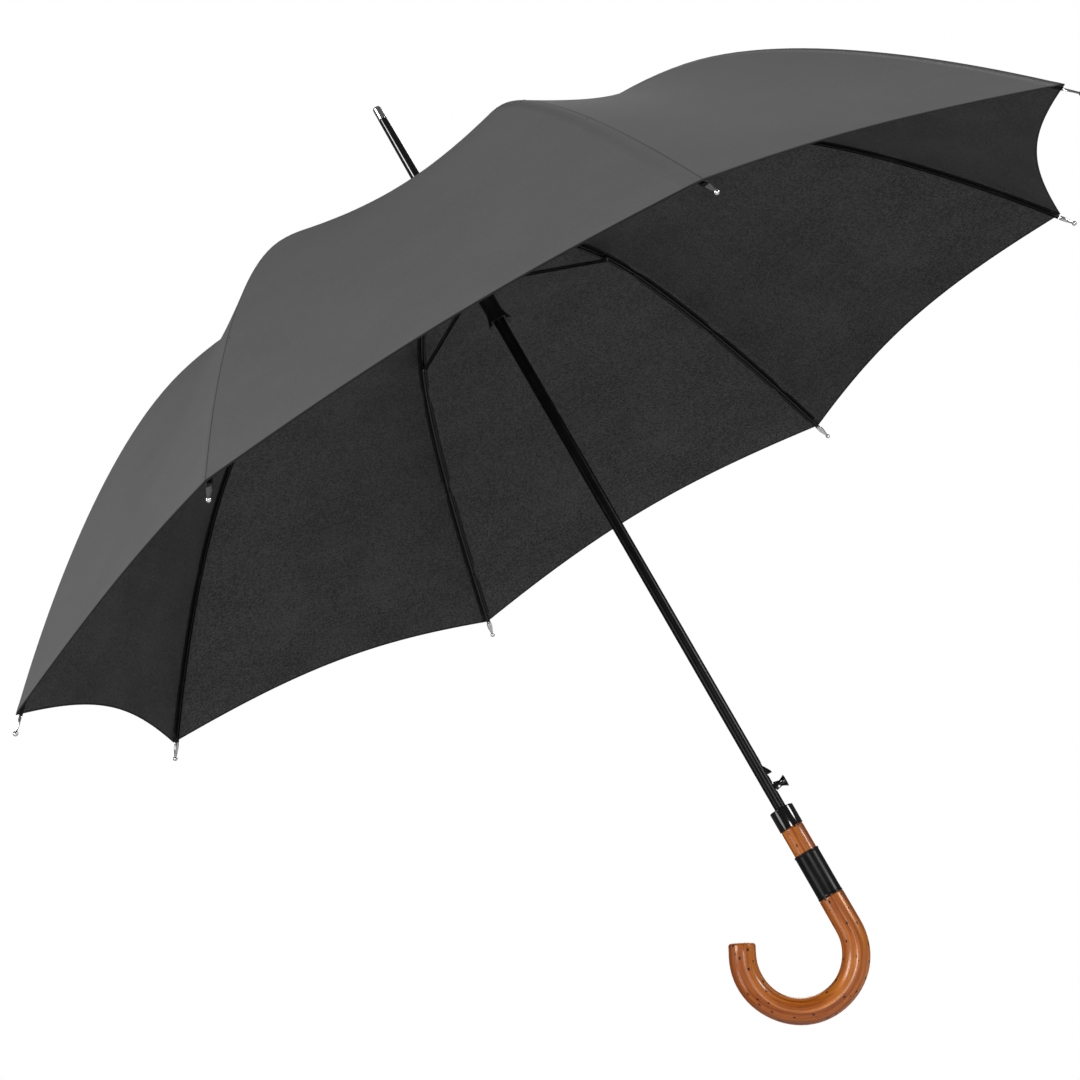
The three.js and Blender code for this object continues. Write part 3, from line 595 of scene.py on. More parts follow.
runner = piece("runner_body", points, faces, "runner", "carrier_plastic", carrier_black, ["runner"])
pin_hole = rings([circle(y * Y + (RUNNER_Z - PIN_DROP) * Z, X, Z, PIN_HOLE_R, 16) for y in (0.004, 0.012)])
ledge = low + 0.0037
catch_window = box_mesh((0.004, -0.0021, ledge), (0.02, 0.0021, ledge + 0.0125))
arch = 0.9 * SLEEVE_R
skirt_gap = box_mesh((-arch, -0.013, low - 0.001), (arch, 0.013, low + 0.0032))
cut_away(runner, slot_tools(RUNNER_Z - 0.002, RUNNER_Z + 0.01) + [catch_window, skirt_gap, pin_hole])
points, faces = wire_ring(RUNNER_Z)
piece("runner_ring", points, faces, "runner", "spring_steel", spring_wire, ["runner_wire"])

top = NOTCH_Z + 0.0026
profile = [(BORE_R, NOTCH_Z - 0.0045), (CARRIER_R - 0.0015, NOTCH_Z - 0.0045), (CARRIER_R, NOTCH_Z - 0.003),
           (CARRIER_R, top), (PIVOT_R + GROOVE, top), (PIVOT_R + GROOVE, NOTCH_Z - GROOVE),
           (PIVOT_R - GROOVE, NOTCH_Z - GROOVE), (PIVOT_R - GROOVE, top), (BORE_R, top)]
points, faces = turned(profile, corner=0.0002)
body = "handle_and_shaft"
notch = piece("notch_body", points, faces, body, "carrier_plastic", carrier_black, ["top_notch"])
cut_away(notch, slot_tools(NOTCH_Z - 0.01, NOTCH_Z + 0.002))
points, faces = wire_ring(NOTCH_Z)
piece("notch_ring", points, faces, "handle_and_shaft", "spring_steel", spring_wire, ["notch_wire"])

# ---- Springs and pins inside the shaft ----
# Coil springs of music wire and short steel pins. The small spring behind the catch, which shortens as the
# button is pressed, is drawn at rest. The long one runs from the pin in the ferrule to the runner's pin.
BUTTON_SPRING = (-0.0033, 0.0020)
OPENING_SPRING = (RUNNER_Z - PIN_DROP + 0.002, NOTCH_Z + 0.0971)


def coil(start, along, across, length, radius, wire, turns, steps=14):
    """A coil spring of round wire that starts on its own axis's first end."""
    over = along.cross(across)
    loops = []
    for i in range(turns * steps + 1):
        out = cos(tau * i / steps) * across + sin(tau * i / steps) * over
        middle = start + length * i / (turns * steps) * along + radius * out
        loops.append(circle(middle, out, along, wire, 6))
    return rings(loops)


low, high = BUTTON_SPRING
shape = coil(low * X + BUTTON_Z * Z, X, Y, high - low, 0.0014, 0.00028, 5)
spring = piece("catch_spring", *shape, "handle_and_shaft", "spring_steel", spring_wire, ["button_spring"])
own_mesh(spring)
low, high = OPENING_SPRING
shape = coil(low * Z, Z, X, high - low, 0.0023, 0.00042, 60)
piece("long_spring", *shape, "handle_and_shaft", "spring_steel", spring_wire, ["opening_spring"])
for name in ("lever_pin", "spring_anchor_pin", "runner_pin"):
    pin = frame["nodes"][name]
    pin.data.materials.clear()
    pin.data.materials.append(spring_wire)

# ---- Ferrule and its bright cap ----
# A tapered gloss-black moulding that plugs into the shaft's top, tipped with a pressed and polished cap.
FERRULE_BASE = SHAFT_TOP + 0.0003
FERRULE_END = FERRULE_BASE + 0.1065
FERRULE_BORE = 0.0032
FERRULE_END_R = 0.00395
CAP_LENGTH = 0.0127


def polished(name, tone, roughness=0.09):
    """Chrome or nickel plate: bright, with a faint haze and hair-fine wear."""
    material, nodes, links, surface = shader(name, roughness, metallic=1.0)
    place = node(nodes, "TexCoord")
    haze = node(nodes, "TexNoise", Scale=160.0, Detail=4.0)
    links.new(place.outputs["Object"], haze.inputs["Vector"])
    spread = node(nodes, "MapRange")
    spread.inputs[3].default_value = roughness * 0.6
    spread.inputs[4].default_value = roughness * 2.0
    links.new(haze.outputs["Fac"], spread.inputs[0])
    links.new(spread.outputs[0], surface.inputs["Roughness"])
    colour = ramp(nodes, (0.3, tuple(c * 0.86 for c in tone)), (0.7, tone))
    links.new(haze.outputs["Fac"], colour.inputs["Fac"])
    links.new(colour.outputs["Color"], surface.inputs["Base Color"])
    return material


bright_plate = polished("bright_plate", (0.78, 0.78, 0.80))
spigot = SHAFT_R - SHAFT_WALL - 0.0003
profile = [(FERRULE_BORE, FERRULE_BASE - 0.016), (spigot, FERRULE_BASE - 0.016), (spigot, FERRULE_BASE),
           (SHAFT_R, FERRULE_BASE), (SHAFT_R, FERRULE_BASE + 0.003), (0.0046, FERRULE_BASE + 0.045),
           (FERRULE_END_R, FERRULE_END), (FERRULE_BORE, FERRULE_END)]
points, faces = turned(profile, corner=0.0003)
piece("ferrule", points, faces, "handle_and_shaft", "gloss_plastic", gloss_black, ["ferrule_tube"])
base = FERRULE_END + 0.0003
end = base + CAP_LENGTH
plug = FERRULE_BORE - 0.0003
profile = [(TINY, base - 0.006), (plug, base - 0.006), (plug, base), (FERRULE_END_R + 0.0001, base),
           (FERRULE_END_R + 0.0001, base + 0.001), (FERRULE_END_R - 0.00005, base + 0.0014),
           (FERRULE_END_R - 0.00015, end - 0.0014), (FERRULE_END_R - 0.0009, end), (TINY, end)]
points, faces = turned(profile, ring=False, corner=0.0005)
piece("ferrule_end_cap", points, faces, "handle_and_shaft", "bright_metal", bright_plate, ["ferrule_cap"])

# ---- Ribs ----
# Each rib is a strip of spring steel rolled into a channel, black-lacquered, with a flattened eye at the
# notch and a lug under it for the stretcher. It is drawn as the two lengths that the frame hinges.
SHOULDER_SLOPE = radians(20)
RIM_SLOPE = radians(49)
RIM_R = 0.519
RIM_DROP = 0.2305
INNER_PULL = (0.33, 0.33)
OUTER_PULL = (0.275, 0.305)
RIB_W = 0.0034
RIB_H = 0.0026
CHANNEL_WALL = 0.0005
EYE_R = 0.0017
EYE_W = 0.0016
LUG_R = 0.002


def flat_place(name):
    """A joint's place as radius and height, with radius across the shaft."""
    x, y, z = joints[name]["pos_m"]
    return Vector((hypot(x, y), z))


def curve_points(start, finish, slope_start, slope_finish, pulls):
    """Controls of a cubic curve that leaves and arrives at given downward slopes."""
    chord = (finish - start).length
    leave = Vector((cos(slope_start), -sin(slope_start))) * pulls[0] * chord
    arrive = Vector((cos(slope_finish), -sin(slope_finish))) * pulls[1] * chord
    return start, start + leave, finish - arrive, finish


def on_curve(controls, t):
    """Point and unit direction of a cubic curve."""
    a, b, c, d = controls
    s = 1 - t
    point = s ** 3 * a + 3 * s * s * t * b + 3 * s * t * t * c + t ** 3 * d
    along = 3 * s * s * (b - a) + 6 * s * t * (c - b) + 3 * t * t * (d - c)
    return point, along.normalized()


pivot = Vector((PIVOT_R, NOTCH_Z))
joint = flat_place("stretcher_hinge_1")
shoulder = flat_place("flex_1")
rib_end = Vector((RIM_R, NOTCH_Z - RIM_DROP))
inner_rib = curve_points(pivot, shoulder, radians(1), SHOULDER_SLOPE, INNER_PULL)
outer_rib = curve_points(shoulder, rib_end, SHOULDER_SLOPE, RIM_SLOPE, OUTER_PULL)


def run_table(controls, steps=200):
    """Length run at even steps of a curve."""
    table = [0.0]
    last = controls[0]
    for i in range(1, steps + 1):
        here = on_curve(controls, i / steps)[0]
        table.append(table[-1] + (here - last).length)
        last = here
    return table


def share_at(table, run):
    """The curve's own parameter where it has run a given length."""
    steps = len(table) - 1
    for i in range(steps):
        if table[i + 1] >= run:
            return (i + (run - table[i]) / (table[i + 1] - table[i])) / steps
    return 1.0


inner_runs = run_table(inner_rib)
outer_runs = run_table(outer_rib)
INNER_LENGTH = inner_runs[-1]
RIB_LENGTH = INNER_LENGTH + outer_runs[-1]


def rib_at(run):
    """The rib's line after a length from the notch pivot: the point, and the direction out of its top."""
    if run < INNER_LENGTH:
        point, along = on_curve(inner_rib, share_at(inner_runs, max(run, 0)))
    else:
        point, along = on_curve(outer_rib, share_at(outer_runs, run - INNER_LENGTH))
    return point, Vector((-along.y, along.x))


def in_plane(k, flat, side=0.0):
    """A point of rib k's plane, from radius and height, moved sideways."""
    out = bearing(k)
    return flat.x * out + side * Z.cross(out) + flat.y * Z


def channel_section():
    """The rolled channel, open below: sideways and upward places round its edge."""
    w, h, t = RIB_W / 2, RIB_H / 2, CHANNEL_WALL
    corner = 0.0005
    ceiling = h - t - 0.0002
    return [(-w, -h), (-w, h - corner), (-w + corner, h), (w - corner, h), (w, h - corner), (w, -h),
            (w - t, -h), (w - t, ceiling), (-w + t, ceiling), (-w + t, -h)]


def sweep_rib(k, start, finish, steps):
    """The channel of rib k between two lengths from the notch."""
    loops = []
    for i in range(steps + 1):
        point, out = rib_at(start + (finish - start) * i / steps)
        loops.append([in_plane(k, point + rise * out, side) for side, rise in channel_section()])
    return rings(loops)


def link_plate(k, a, b, radius_a, radius_b, low, high):
    """A flat round-ended plate in rib k's plane, from one side to the other."""
    along = (b - a).normalized()
    across = Vector((-along.y, along.x))
    edge = []
    for centre, radius, way in ((a, radius_a, -1), (b, radius_b, 1)):
        for i in range(13):
            turn = pi * i / 12 - pi / 2
            edge.append(centre + radius * (way * cos(turn) * along + way * sin(turn) * across))
    return rings([[in_plane(k, p, side) for p in edge] for side in (low, high)])


rib_lacquer = black_finish("rib_lacquer", (0.004, 0.004, 0.004), 0.3, 1800)
lug_top = joint + 0.6 * (shoulder - joint) - (LUG_R + 0.0003) * on_curve(inner_rib, 1)[1]
for k in range(1, RIBS + 1):
    neck = rib_at(0.009)[0]
    inner_shape = merged(
        sweep_rib(k, 0.0065, INNER_LENGTH - 0.0002, 28),
        link_plate(k, pivot, neck, EYE_R, RIB_H / 2, -EYE_W / 2, EYE_W / 2),
        link_plate(k, joint, lug_top, LUG_R, LUG_R, -0.0006, 0.0006),
    )
    body = f"rib_{k}_inner"
    piece(f"rib_{k}_upper", *inner_shape, body, "rib_steel", rib_lacquer, [f"rib_inner_{k}"])
    outer_shape = sweep_rib(k, INNER_LENGTH + 0.001, RIB_LENGTH - 0.0003, 30)
    body = f"rib_{k}_outer"
    piece(f"rib_{k}_lower", *outer_shape, body, "rib_steel", rib_lacquer, [f"rib_outer_{k}"])

# ---- Stretchers and rivets ----
# Stretchers are channels of the same steel with a forked end that straddles the rib's lug on a rivet, and a
# flattened eye in the runner. The rivets are bright steel, headed over on both sides.
FORK_LENGTH = 0.009
STRETCHER_H = 0.0024
CHEEK_Y = (0.0009, 0.0017)
CHEEK_R = 0.0022
runner_flat = Vector((PIVOT_R, RUNNER_Z))


def stretcher_bar(k):
    """The channel of stretcher k with the fork's two cheeks at the rib and the flat eye at the runner."""
    along = (runner_flat - joint).normalized()
    start, finish = joint + 0.007 * along, runner_flat - 0.0065 * along
    across = Vector((-along.y, along.x))
    if across.y < 0:
        across = -across
    scale = STRETCHER_H / RIB_H
    loops = []
    for i in range(7):
        middle = start.lerp(finish, i / 6)
        loops.append([in_plane(k, middle + rise * scale * across, side) for side, rise in channel_section()])
    fork_end = joint + FORK_LENGTH * along
    cheeks = [link_plate(k, joint, fork_end, CHEEK_R, STRETCHER_H / 2, low, high)
              for low, high in (CHEEK_Y, (-CHEEK_Y[1], -CHEEK_Y[0]))]
    root = runner_flat - 0.0091 * along
    eye = link_plate(k, runner_flat, root, EYE_R, STRETCHER_H / 2, -EYE_W / 2, EYE_W / 2)
    return merged(rings(loops), *cheeks, eye)


def rivet(k):
    """The pin through rib k's lug and its stretcher's fork, headed on both sides."""
    out, side = bearing(k), Z.cross(bearing(k))
    middle = in_plane(k, joint)
    shape = [(0.0024, TINY), (0.0024, 0.0005), (0.0022, 0.0011), (0.0018, 0.0014), (0.0017, 0.0008),
             (-0.0017, 0.0008), (-0.0018, 0.0014), (-0.0022, 0.0011), (-0.0024, 0.0005), (-0.0024, TINY)]
    return rings([circle(middle + s * side, out, Z, r, 20) for s, r in shape])


rivet_steel = polished("rivet_steel", (0.62, 0.62, 0.64), 0.2)
for k in range(1, RIBS + 1):
    body = f"stretcher_{k}"
    piece(f"stretcher_bar_{k}", *stretcher_bar(k), body, "rib_steel", rib_lacquer, [f"stretcher_{k}"])
    piece(f"rivet_{k}", *rivet(k), body, "spring_steel", rivet_steel)

# ---- Rib tips ----
# Nickel-plated pressings closed round the rib ends: a flat, broad root with a groove down each face, to which
# the cloth's corner is sewn, narrowing to a neck and a ball.
TIP_LENGTH = 0.015
TIP_ROOT_HALF = 0.0025
TIP_NECK_HALF = 0.001
BALL_R = 0.0022


def tip_shape(k):
    """Rib k's tip: the grooved flat root, drawn in to the neck, and the ball."""
    out = bearing(k)
    down = cos(RIM_SLOPE) * out - sin(RIM_SLOPE) * Z
    over = Z.cross(out)
    third = down.cross(over)
    middle = in_plane(k, rib_end)
    loops = []
    for s, share, thick in ((0.0003, 0.0, 0.0008), (0.0006, 0.0, 0.00098), (0.003, 0.0, 0.001),
                            (0.005, 0.0, 0.001), (0.0065, 0.16, 0.001), (0.0085, 0.42, 0.00098),
                            (0.0105, 0.68, 0.00094), (0.0125, 0.9, 0.0009), (0.0139, 1.0, 0.00088)):
        w = TIP_ROOT_HALF + (TIP_NECK_HALF - TIP_ROOT_HALF) * share
        dip = 0.00045 * (1 - share)
        half = [(w, -thick * 0.5), (w, thick * 0.5), (w - 0.0003, thick), (0.00035, thick), (0, thick - dip),
                (-0.00035, thick), (-w + 0.0003, thick)]
        section = half + [(-a, -b) for a, b in half]
        loops.append([middle + s * down + a * over + b * third for a, b in section])
    ball = [(TIP_LENGTH + BALL_R * sin(radians(a)), BALL_R * cos(radians(a))) for a in range(-80, 90, 10)]
    ball = [(TIP_LENGTH - BALL_R, TINY)] + ball + [(TIP_LENGTH + BALL_R, TINY)]
    return merged(rings(loops), rings([circle(middle + s * down, over, third, r, 28) for s, r in ball]))


for k in range(1, RIBS + 1):
    piece(f"tip_{k}", *tip_shape(k), f"rib_{k}_outer", "bright_metal", bright_plate, [f"rib_tip_{k}"])

# ---- Canopy ----
# Eight long triangles of fine plain-woven cloth, grey outside and coated black inside, sewn edge to edge and
# tied to the ribs at the seams, with a stitched hem. Each rib carries the cloth beside it, drawn in four
# lengths that meet edge to edge and ride on the rib's two hinged lengths.
CLOTH_LIFT = 0.0034
CLOTH = 0.0005
CROWN_HOLE = 0.0095
PANEL_SAG = 0.011
HEM_SAG = 0.004
HEM_SCALLOP = 0.022
HALF_PANEL = pi / RIBS
HEM_WIDTH = 0.006
HEM_FOLD = 0.0002
ACROSS = 14
CLOUD_SHARE = 0.22
STREAK_SHARE = 0.2
TONE_SPREAD = 0.15
SEAM_LINE = (0.0002, 0.0008, 0.7, 0.0)
CUT_EDGE = (0.0014, 0.0022, 1.0, 0.0)


def cloth_flat(share, angle, lift):
    """A point of the cloth beside a rib: radius and height, with share from crown to hem."""
    near = 1 - ((HALF_PANEL - abs(angle)) / HALF_PANEL) ** 2
    point, out = rib_at(RIB_LENGTH * share - HEM_SCALLOP * share * near)
    sag = (PANEL_SAG * (4 * share * (1 - share)) ** 1.5 + HEM_SAG * share) * near
    radius = point.x - (PIVOT_R - CROWN_HOLE) * (1 - share)
    radius *= cos(HALF_PANEL) / cos(HALF_PANEL - abs(angle))
    return radius + out.x * (lift - sag), point.y + out.y * (lift - sag)


def cloth_point(k, share, angle, lift):
    """A point of the cloth beside rib k, with the angle taken from the rib round the shaft."""
    radius, height = cloth_flat(share, angle, lift)
    turn = first_bearing + tau * (k - 1) / RIBS + angle
    return Vector((radius * cos(turn), radius * sin(turn), height))


def cloth_normal(k, share, angle):
    """The cloth's outward direction; at a panel's middle it leans neither way."""
    step = 0.002
    angle_step = 0.01
    low, high = max(share - step, 0), min(share + step, 1)
    down = cloth_point(k, high, angle, CLOTH_LIFT) - cloth_point(k, low, angle, CLOTH_LIFT)
    sign = 1 if angle >= 0 else -1
    inner_angle = sign * max(abs(angle) - angle_step, 0)
    outer_angle = sign * min(abs(angle) + angle_step, HALF_PANEL)
    if abs(angle) > HALF_PANEL - 0.0001:
        turn = first_bearing + tau * (k - 1) / RIBS + angle
        side = Z.cross(Vector((cos(turn), sin(turn), 0)))
    else:
        side = cloth_point(k, share, outer_angle, CLOTH_LIFT)
        side -= cloth_point(k, share, inner_angle, CLOTH_LIFT)
        side *= sign
    return down.cross(side).normalized()


def cloth_material(name, tones, roughness, sheen, weave_scale, speck_and_glint_scale, grain, stitch):
    """Fine plain weave with slight streaks and specks of colour, a dark cut edge and a dark seam line; on the
    black cloths the strong specks are painted glints of the coating's sheen.
    """
    material, nodes, links, surface = shader(name, roughness, specular=0.35)
    surface.inputs["Sheen Weight"].default_value = sheen
    surface.inputs["Sheen Roughness"].default_value = 0.4
    place = node(nodes, "Attribute", attribute_name="cloth")
    parts = node(nodes, "SeparateXYZ")
    links.new(place.outputs["Vector"], parts.inputs[0])
    cloud = node(nodes, "TexNoise", Scale=14.0, Detail=5.0, Roughness=0.6)
    links.new(place.outputs["Vector"], cloud.inputs["Vector"])
    threads = node(nodes, "Mapping", Scale=(2600, 60, 1))
    links.new(place.outputs["Vector"], threads.inputs["Vector"])
    slub = node(nodes, "TexNoise", Scale=1.0, Detail=2.0)
    links.new(threads.outputs["Vector"], slub.inputs["Vector"])
    warp = node(nodes, "TexWave", Scale=weave_scale, bands_direction="X")
    weft = node(nodes, "TexWave", Scale=weave_scale, bands_direction="Y")
    links.new(place.outputs["Vector"], warp.inputs["Vector"])
    links.new(place.outputs["Vector"], weft.inputs["Vector"])
    weave = node(nodes, "Math", operation="MULTIPLY")
    links.new(warp.outputs["Fac"], weave.inputs[0])
    links.new(weft.outputs["Fac"], weave.inputs[1])
    # Specks of colour: faint random specks outside; on the black inside, strong specks that are painted
    # glints of the coating's sheen.
    speck = node(nodes, "TexNoise", Scale=speck_and_glint_scale, Detail=2.0, Roughness=0.7)
    links.new(place.outputs["Vector"], speck.inputs["Vector"])
    faint = node(nodes, "Math", operation="MULTIPLY")
    faint.inputs[1].default_value = CLOUD_SHARE
    links.new(cloud.outputs["Fac"], faint.inputs[0])
    mixed = node(nodes, "Math", operation="MULTIPLY_ADD")
    mixed.inputs[1].default_value = grain
    links.new(speck.outputs["Fac"], mixed.inputs[0])
    links.new(faint.outputs[0], mixed.inputs[2])
    more = node(nodes, "Math", operation="MULTIPLY_ADD")
    more.inputs[1].default_value = STREAK_SHARE
    links.new(slub.outputs["Fac"], more.inputs[0])
    links.new(mixed.outputs[0], more.inputs[2])
    middle = (CLOUD_SHARE + STREAK_SHARE + grain) / 2
    colour = ramp(nodes, (middle - TONE_SPREAD, tones[0]), (middle + TONE_SPREAD, tones[1]))
    links.new(more.outputs[0], colour.inputs["Fac"])
    dark = node(nodes, "Mix", data_type="RGBA")
    dark.inputs[7].default_value = (*stitch, 1)
    links.new(colour.outputs["Color"], dark.inputs[6])
    seam = node(nodes, "MapRange")
    for index, value in enumerate(SEAM_LINE, 1):
        seam.inputs[index].default_value = value
    away = node(nodes, "Math", operation="ABSOLUTE")
    links.new(parts.outputs[0], away.inputs[0])
    links.new(away.outputs[0], seam.inputs[0])
    edge = node(nodes, "MapRange")
    for index, value in enumerate(CUT_EDGE, 1):
        edge.inputs[index].default_value = value
    links.new(parts.outputs[2], edge.inputs[0])
    either = node(nodes, "Math", operation="MAXIMUM")
    links.new(seam.outputs[0], either.inputs[0])
    links.new(edge.outputs[0], either.inputs[1])
    links.new(either.outputs[0], dark.inputs[0])
    links.new(dark.outputs[2], surface.inputs["Base Color"])
    bump(nodes, links, surface, weave.outputs[0], 0.25, 0.00012)
    return material


outer_cloth = cloth_material("outer_cloth", ((0.100, 0.100, 0.100), (0.135, 0.135, 0.135)), 0.8, 0.1,
                             500, 900, 0.35, (0.010, 0.010, 0.010))
# The inside's tones reach up to grey for its specks: painted glints of the coating's sheen, not the cloth's
# own colour.
inner_cloth = cloth_material("inner_cloth", ((0.001, 0.001, 0.001), (0.052, 0.052, 0.052)), 0.5, 0.03,
                             500, 520, 0.9, (0.002, 0.002, 0.002))
# A darker copy of the inner cloth for the seam's band: painted shade over the rib, and its specks are faint
# painted glints.
shaded_seam_cloth = cloth_material("shaded_seam_cloth", ((0.001, 0.001, 0.001), (0.010, 0.010, 0.010)), 0.7, 0.0,
                            500, 650, 0.9, (0.001, 0.001, 0.001))

BAND_CLOTH_HALF = 0.0045
BAND_DROPS = (0.0002, 0.0006)
TIES = {"upper": (0.30,), "lower": (0.52, 0.72, 0.90)}
TIE_DRAWS_IN = 0.016
BAND_WAVER = 0.03
CLEAR_OF_SEAM = 0.05


def note_places(mesh, places):
    """Gives each point its place in the cloth: away from the seam, along the rib and in from the cut edge."""
    cloth = mesh.attributes.new("cloth", "FLOAT_VECTOR", "POINT")
    cloth.data.foreach_set("vector", [c for place in places for c in place])


def seam_band(k, part, shares, rows):
    """The seam's spare cloth, a band that lies flat over rib k and is drawn in where thread ties it."""
    points, places = [], []
    for drop in BAND_DROPS:
        for j in range(rows + 1):
            share = shares[0] + (shares[1] - shares[0]) * j / rows
            pinch = min([abs(share - tie) * RIB_LENGTH / TIE_DRAWS_IN for tie in TIES[part]] + [1.0])
            drawn_in = 0.5 + 0.5 * pinch * pinch * (3 - 2 * pinch)
            half = BAND_CLOTH_HALF * (drawn_in + BAND_WAVER * sin(share * 61 + k))
            radius = max(cloth_flat(share, 0, 0)[0], CROWN_HOLE)
            for i in range(7):
                sideways = half * (i - 3) / 3
                points.append(cloth_point(k, share, sideways / radius, CLOTH_LIFT - drop))
                places.append((sideways + CLEAR_OF_SEAM, share * RIB_LENGTH, half - abs(sideways) + 0.002))
    layer = 7 * (rows + 1)
    faces = []
    for j in range(rows):
        for i in range(6):
            a = j * 7 + i
            faces += [(a, a + 7, a + 8, a + 1), (layer + a, layer + a + 1, layer + a + 8, layer + a + 7)]
        a, b = j * 7, j * 7 + 6
        faces += [(a + 7, a, layer + a, layer + a + 7), (b, b + 7, layer + b + 7, layer + b)]
    for i in range(6):
        a, b = i, rows * 7 + i
        faces += [(a, a + 1, layer + a + 1, layer + a), (b + 1, b, layer + b, layer + b + 1)]
    body = f"rib_{k}_{'inner' if part == 'upper' else 'outer'}"
    # The band is drawn in the darker copy of the inner cloth: painted shade.
    band = piece(f"seam_band_{k}_{part}", points, faces, body, "canopy_cloth", shaded_seam_cloth)
    note_places(band.data, places)
    return band


JOINT_SHARE = INNER_LENGTH / RIB_LENGTH
LENGTHS = (
    ("crown", 0.0, JOINT_SHARE / 2, 10, 0.13),
    ("upper", JOINT_SHARE / 2, JOINT_SHARE, 10, 0.13),
    ("middle", JOINT_SHARE, (1 + JOINT_SHARE) / 2, 14, 0.085),
    ("lower", (1 + JOINT_SHARE) / 2, 1.0, 14, 0.07),
)


def cloth_piece(k, side, part, shares, rows):
    """One length of half a panel's cloth, on one side of rib k."""
    points, normals, places = [], [], []
    step = [shares[0] + (shares[1] - shares[0]) * j / rows for j in range(rows + 1)]
    if part == "lower":
        step[-2:] = [step[-2], 1 - HEM_WIDTH / RIB_LENGTH, 1.0]
    for top in (True, False):
        for share in step:
            hem = part == "lower" and share > 1 - HEM_WIDTH / RIB_LENGTH - 0.0001
            for i in range(ACROSS + 1):
                angle = side * HALF_PANEL * i / ACROSS
                lift = CLOTH_LIFT + (CLOTH if top else 0) + (HEM_FOLD if hem and top else 0)
                here = cloth_point(k, share, angle, lift)
                points.append(here)
                normal = cloth_normal(k, share, angle)
                normals.append(normal if top else -normal)
                radius = hypot(here.x, here.y)
                places.append((radius * abs(angle), share * RIB_LENGTH, (1 - share) * RIB_LENGTH))
    row = ACROSS + 1
    layer = row * len(step)
    faces, sides = [], []
    for j in range(len(step) - 1):
        for i in range(ACROSS):
            a = j * row + i
            quad = (a, a + row, a + row + 1, a + 1)
            faces.append(quad if side > 0 else quad[::-1])
            under = tuple(layer + n for n in quad[::-1])
            faces.append(under if side > 0 else under[::-1])
            sides += [0, 1]
    rim = [j * row for j in range(len(step))]
    rim += [(len(step) - 1) * row + i for i in range(1, row)]
    rim += [j * row + ACROSS for j in range(len(step) - 2, -1, -1)]
    rim += [i for i in range(ACROSS - 1, 0, -1)]
    for a, b in zip(rim, rim[1:] + rim[:1]):
        quad = (a, layer + a, layer + b, b)
        faces.append(quad if side > 0 else quad[::-1])
        sides.append(2)
    name = f"canopy_{k}_{'left' if side > 0 else 'right'}_{part}"
    mesh = bpy.data.meshes.new(name)
    mesh.from_pydata([tuple(p) for p in points], [], faces)
    mesh.materials.append(outer_cloth)
    mesh.materials.append(inner_cloth)
    corners = []
    for face, kind in zip(mesh.polygons, sides):
        face.material_index = min(kind, 1)
        face.use_smooth = True
        corners += [tuple(face.normal if kind == 2 else normals[v]) for v in face.vertices]
    note_places(mesh, places)
    mesh.normals_split_custom_set(corners)
    made = bpy.data.objects.new(name, mesh)
    bpy.context.collection.objects.link(made)
    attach(made, f"rib_{k}_{'outer' if shares[0] > JOINT_SHARE - 0.001 else 'inner'}")
    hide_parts(f"canopy_panel_{k}")
    start, finish = rib_at(shares[0] * RIB_LENGTH), rib_at(shares[1] * RIB_LENGTH)
    along = (finish[0] - start[0]).normalized()
    out = Vector((-along.y, along.x))
    hang = cloth_point(k, shares[1], side * HALF_PANEL, CLOTH_LIFT)
    corner = cloth_point(k, shares[1], 0, CLOTH_LIFT)
    normal = in_plane(k, out)
    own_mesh(made)


for k in range(1, RIBS + 1):
    bands = {"upper": [seam_band(k, "upper", (0.03, JOINT_SHARE - 0.002), 60)],
             "lower": [seam_band(k, "lower", (JOINT_SHARE + 0.002, 0.985), 90)]}
    for side in (1, -1):
        for part, start, finish, rows, keep in LENGTHS:
            cloth_piece(k, side, part, (start, finish), rows)

# ---- Ties inside the canopy ----
# Lashings of black thread hold the cloth to the frame. At each one, three turns lie side by side, round the
# rib and through the seam's spare cloth.
TIE_TURNS = (-0.0006, 0.0, 0.0006)
TIE_WIDE = 0.00195
TIE_HIGH = 0.0023
TIE_MIDDLE = 0.0007
TIE_SQUARENESS = 1.35
THREAD_R = 0.0002


def ties(k, part):
    """Three turns of thread round the rib and through the seam, at each tie of this length of rib."""
    out = bearing(k)
    side = Z.cross(out)
    shapes = []
    for share in TIES[part]:
        for shift in TIE_TURNS:
            point, normal = rib_at(share * RIB_LENGTH + shift)
            loops = []
            for i in range(16):
                turn = tau * i / 16
                wide = min(max(TIE_SQUARENESS * cos(turn), -1), 1) * TIE_WIDE
                high = TIE_MIDDLE + min(max(TIE_SQUARENESS * sin(turn), -1), 1) * TIE_HIGH
                outward = Vector((wide, high - TIE_MIDDLE)).normalized()
                centre = in_plane(k, point + high * normal, wide)
                lift = outward.x * side + outward.y * in_plane(k, normal)
                along = in_plane(k, Vector((normal.y, -normal.x)))
                loops.append(circle(centre, lift, along, THREAD_R, 6))
            shapes.append(rings(loops, closed=True))
    return merged(*shapes)


thread = black_finish("tie_thread", (0.010, 0.010, 0.010), 0.8, 5000)
for k in range(1, RIBS + 1):
    piece(f"ties_{k}_upper", *ties(k, "upper"), f"rib_{k}_inner", "canopy_cloth", thread)
    piece(f"ties_{k}_lower", *ties(k, "lower"), f"rib_{k}_outer", "canopy_cloth", thread)

# ---- Crown cap ----
# A domed gloss-black washer, moulded in one piece. It is pushed down the shaft over the hole in the cloth's
# crown, and sits a hair above the cloth.
low = NOTCH_Z + CLOTH_LIFT + CLOTH + 0.0003
profile = [(BORE_R, low), (0.013, low), (0.0128, low + 0.0008), (0.0105, low + 0.0016),
           (0.0085, low + 0.0022), (0.0076, low + 0.0030), (0.0072, low + 0.004), (BORE_R, low + 0.004)]
points, faces = turned(profile, corner=0.0005)
piece("crown_washer", points, faces, "handle_and_shaft", "gloss_plastic", gloss_black, ["crown_cap"])

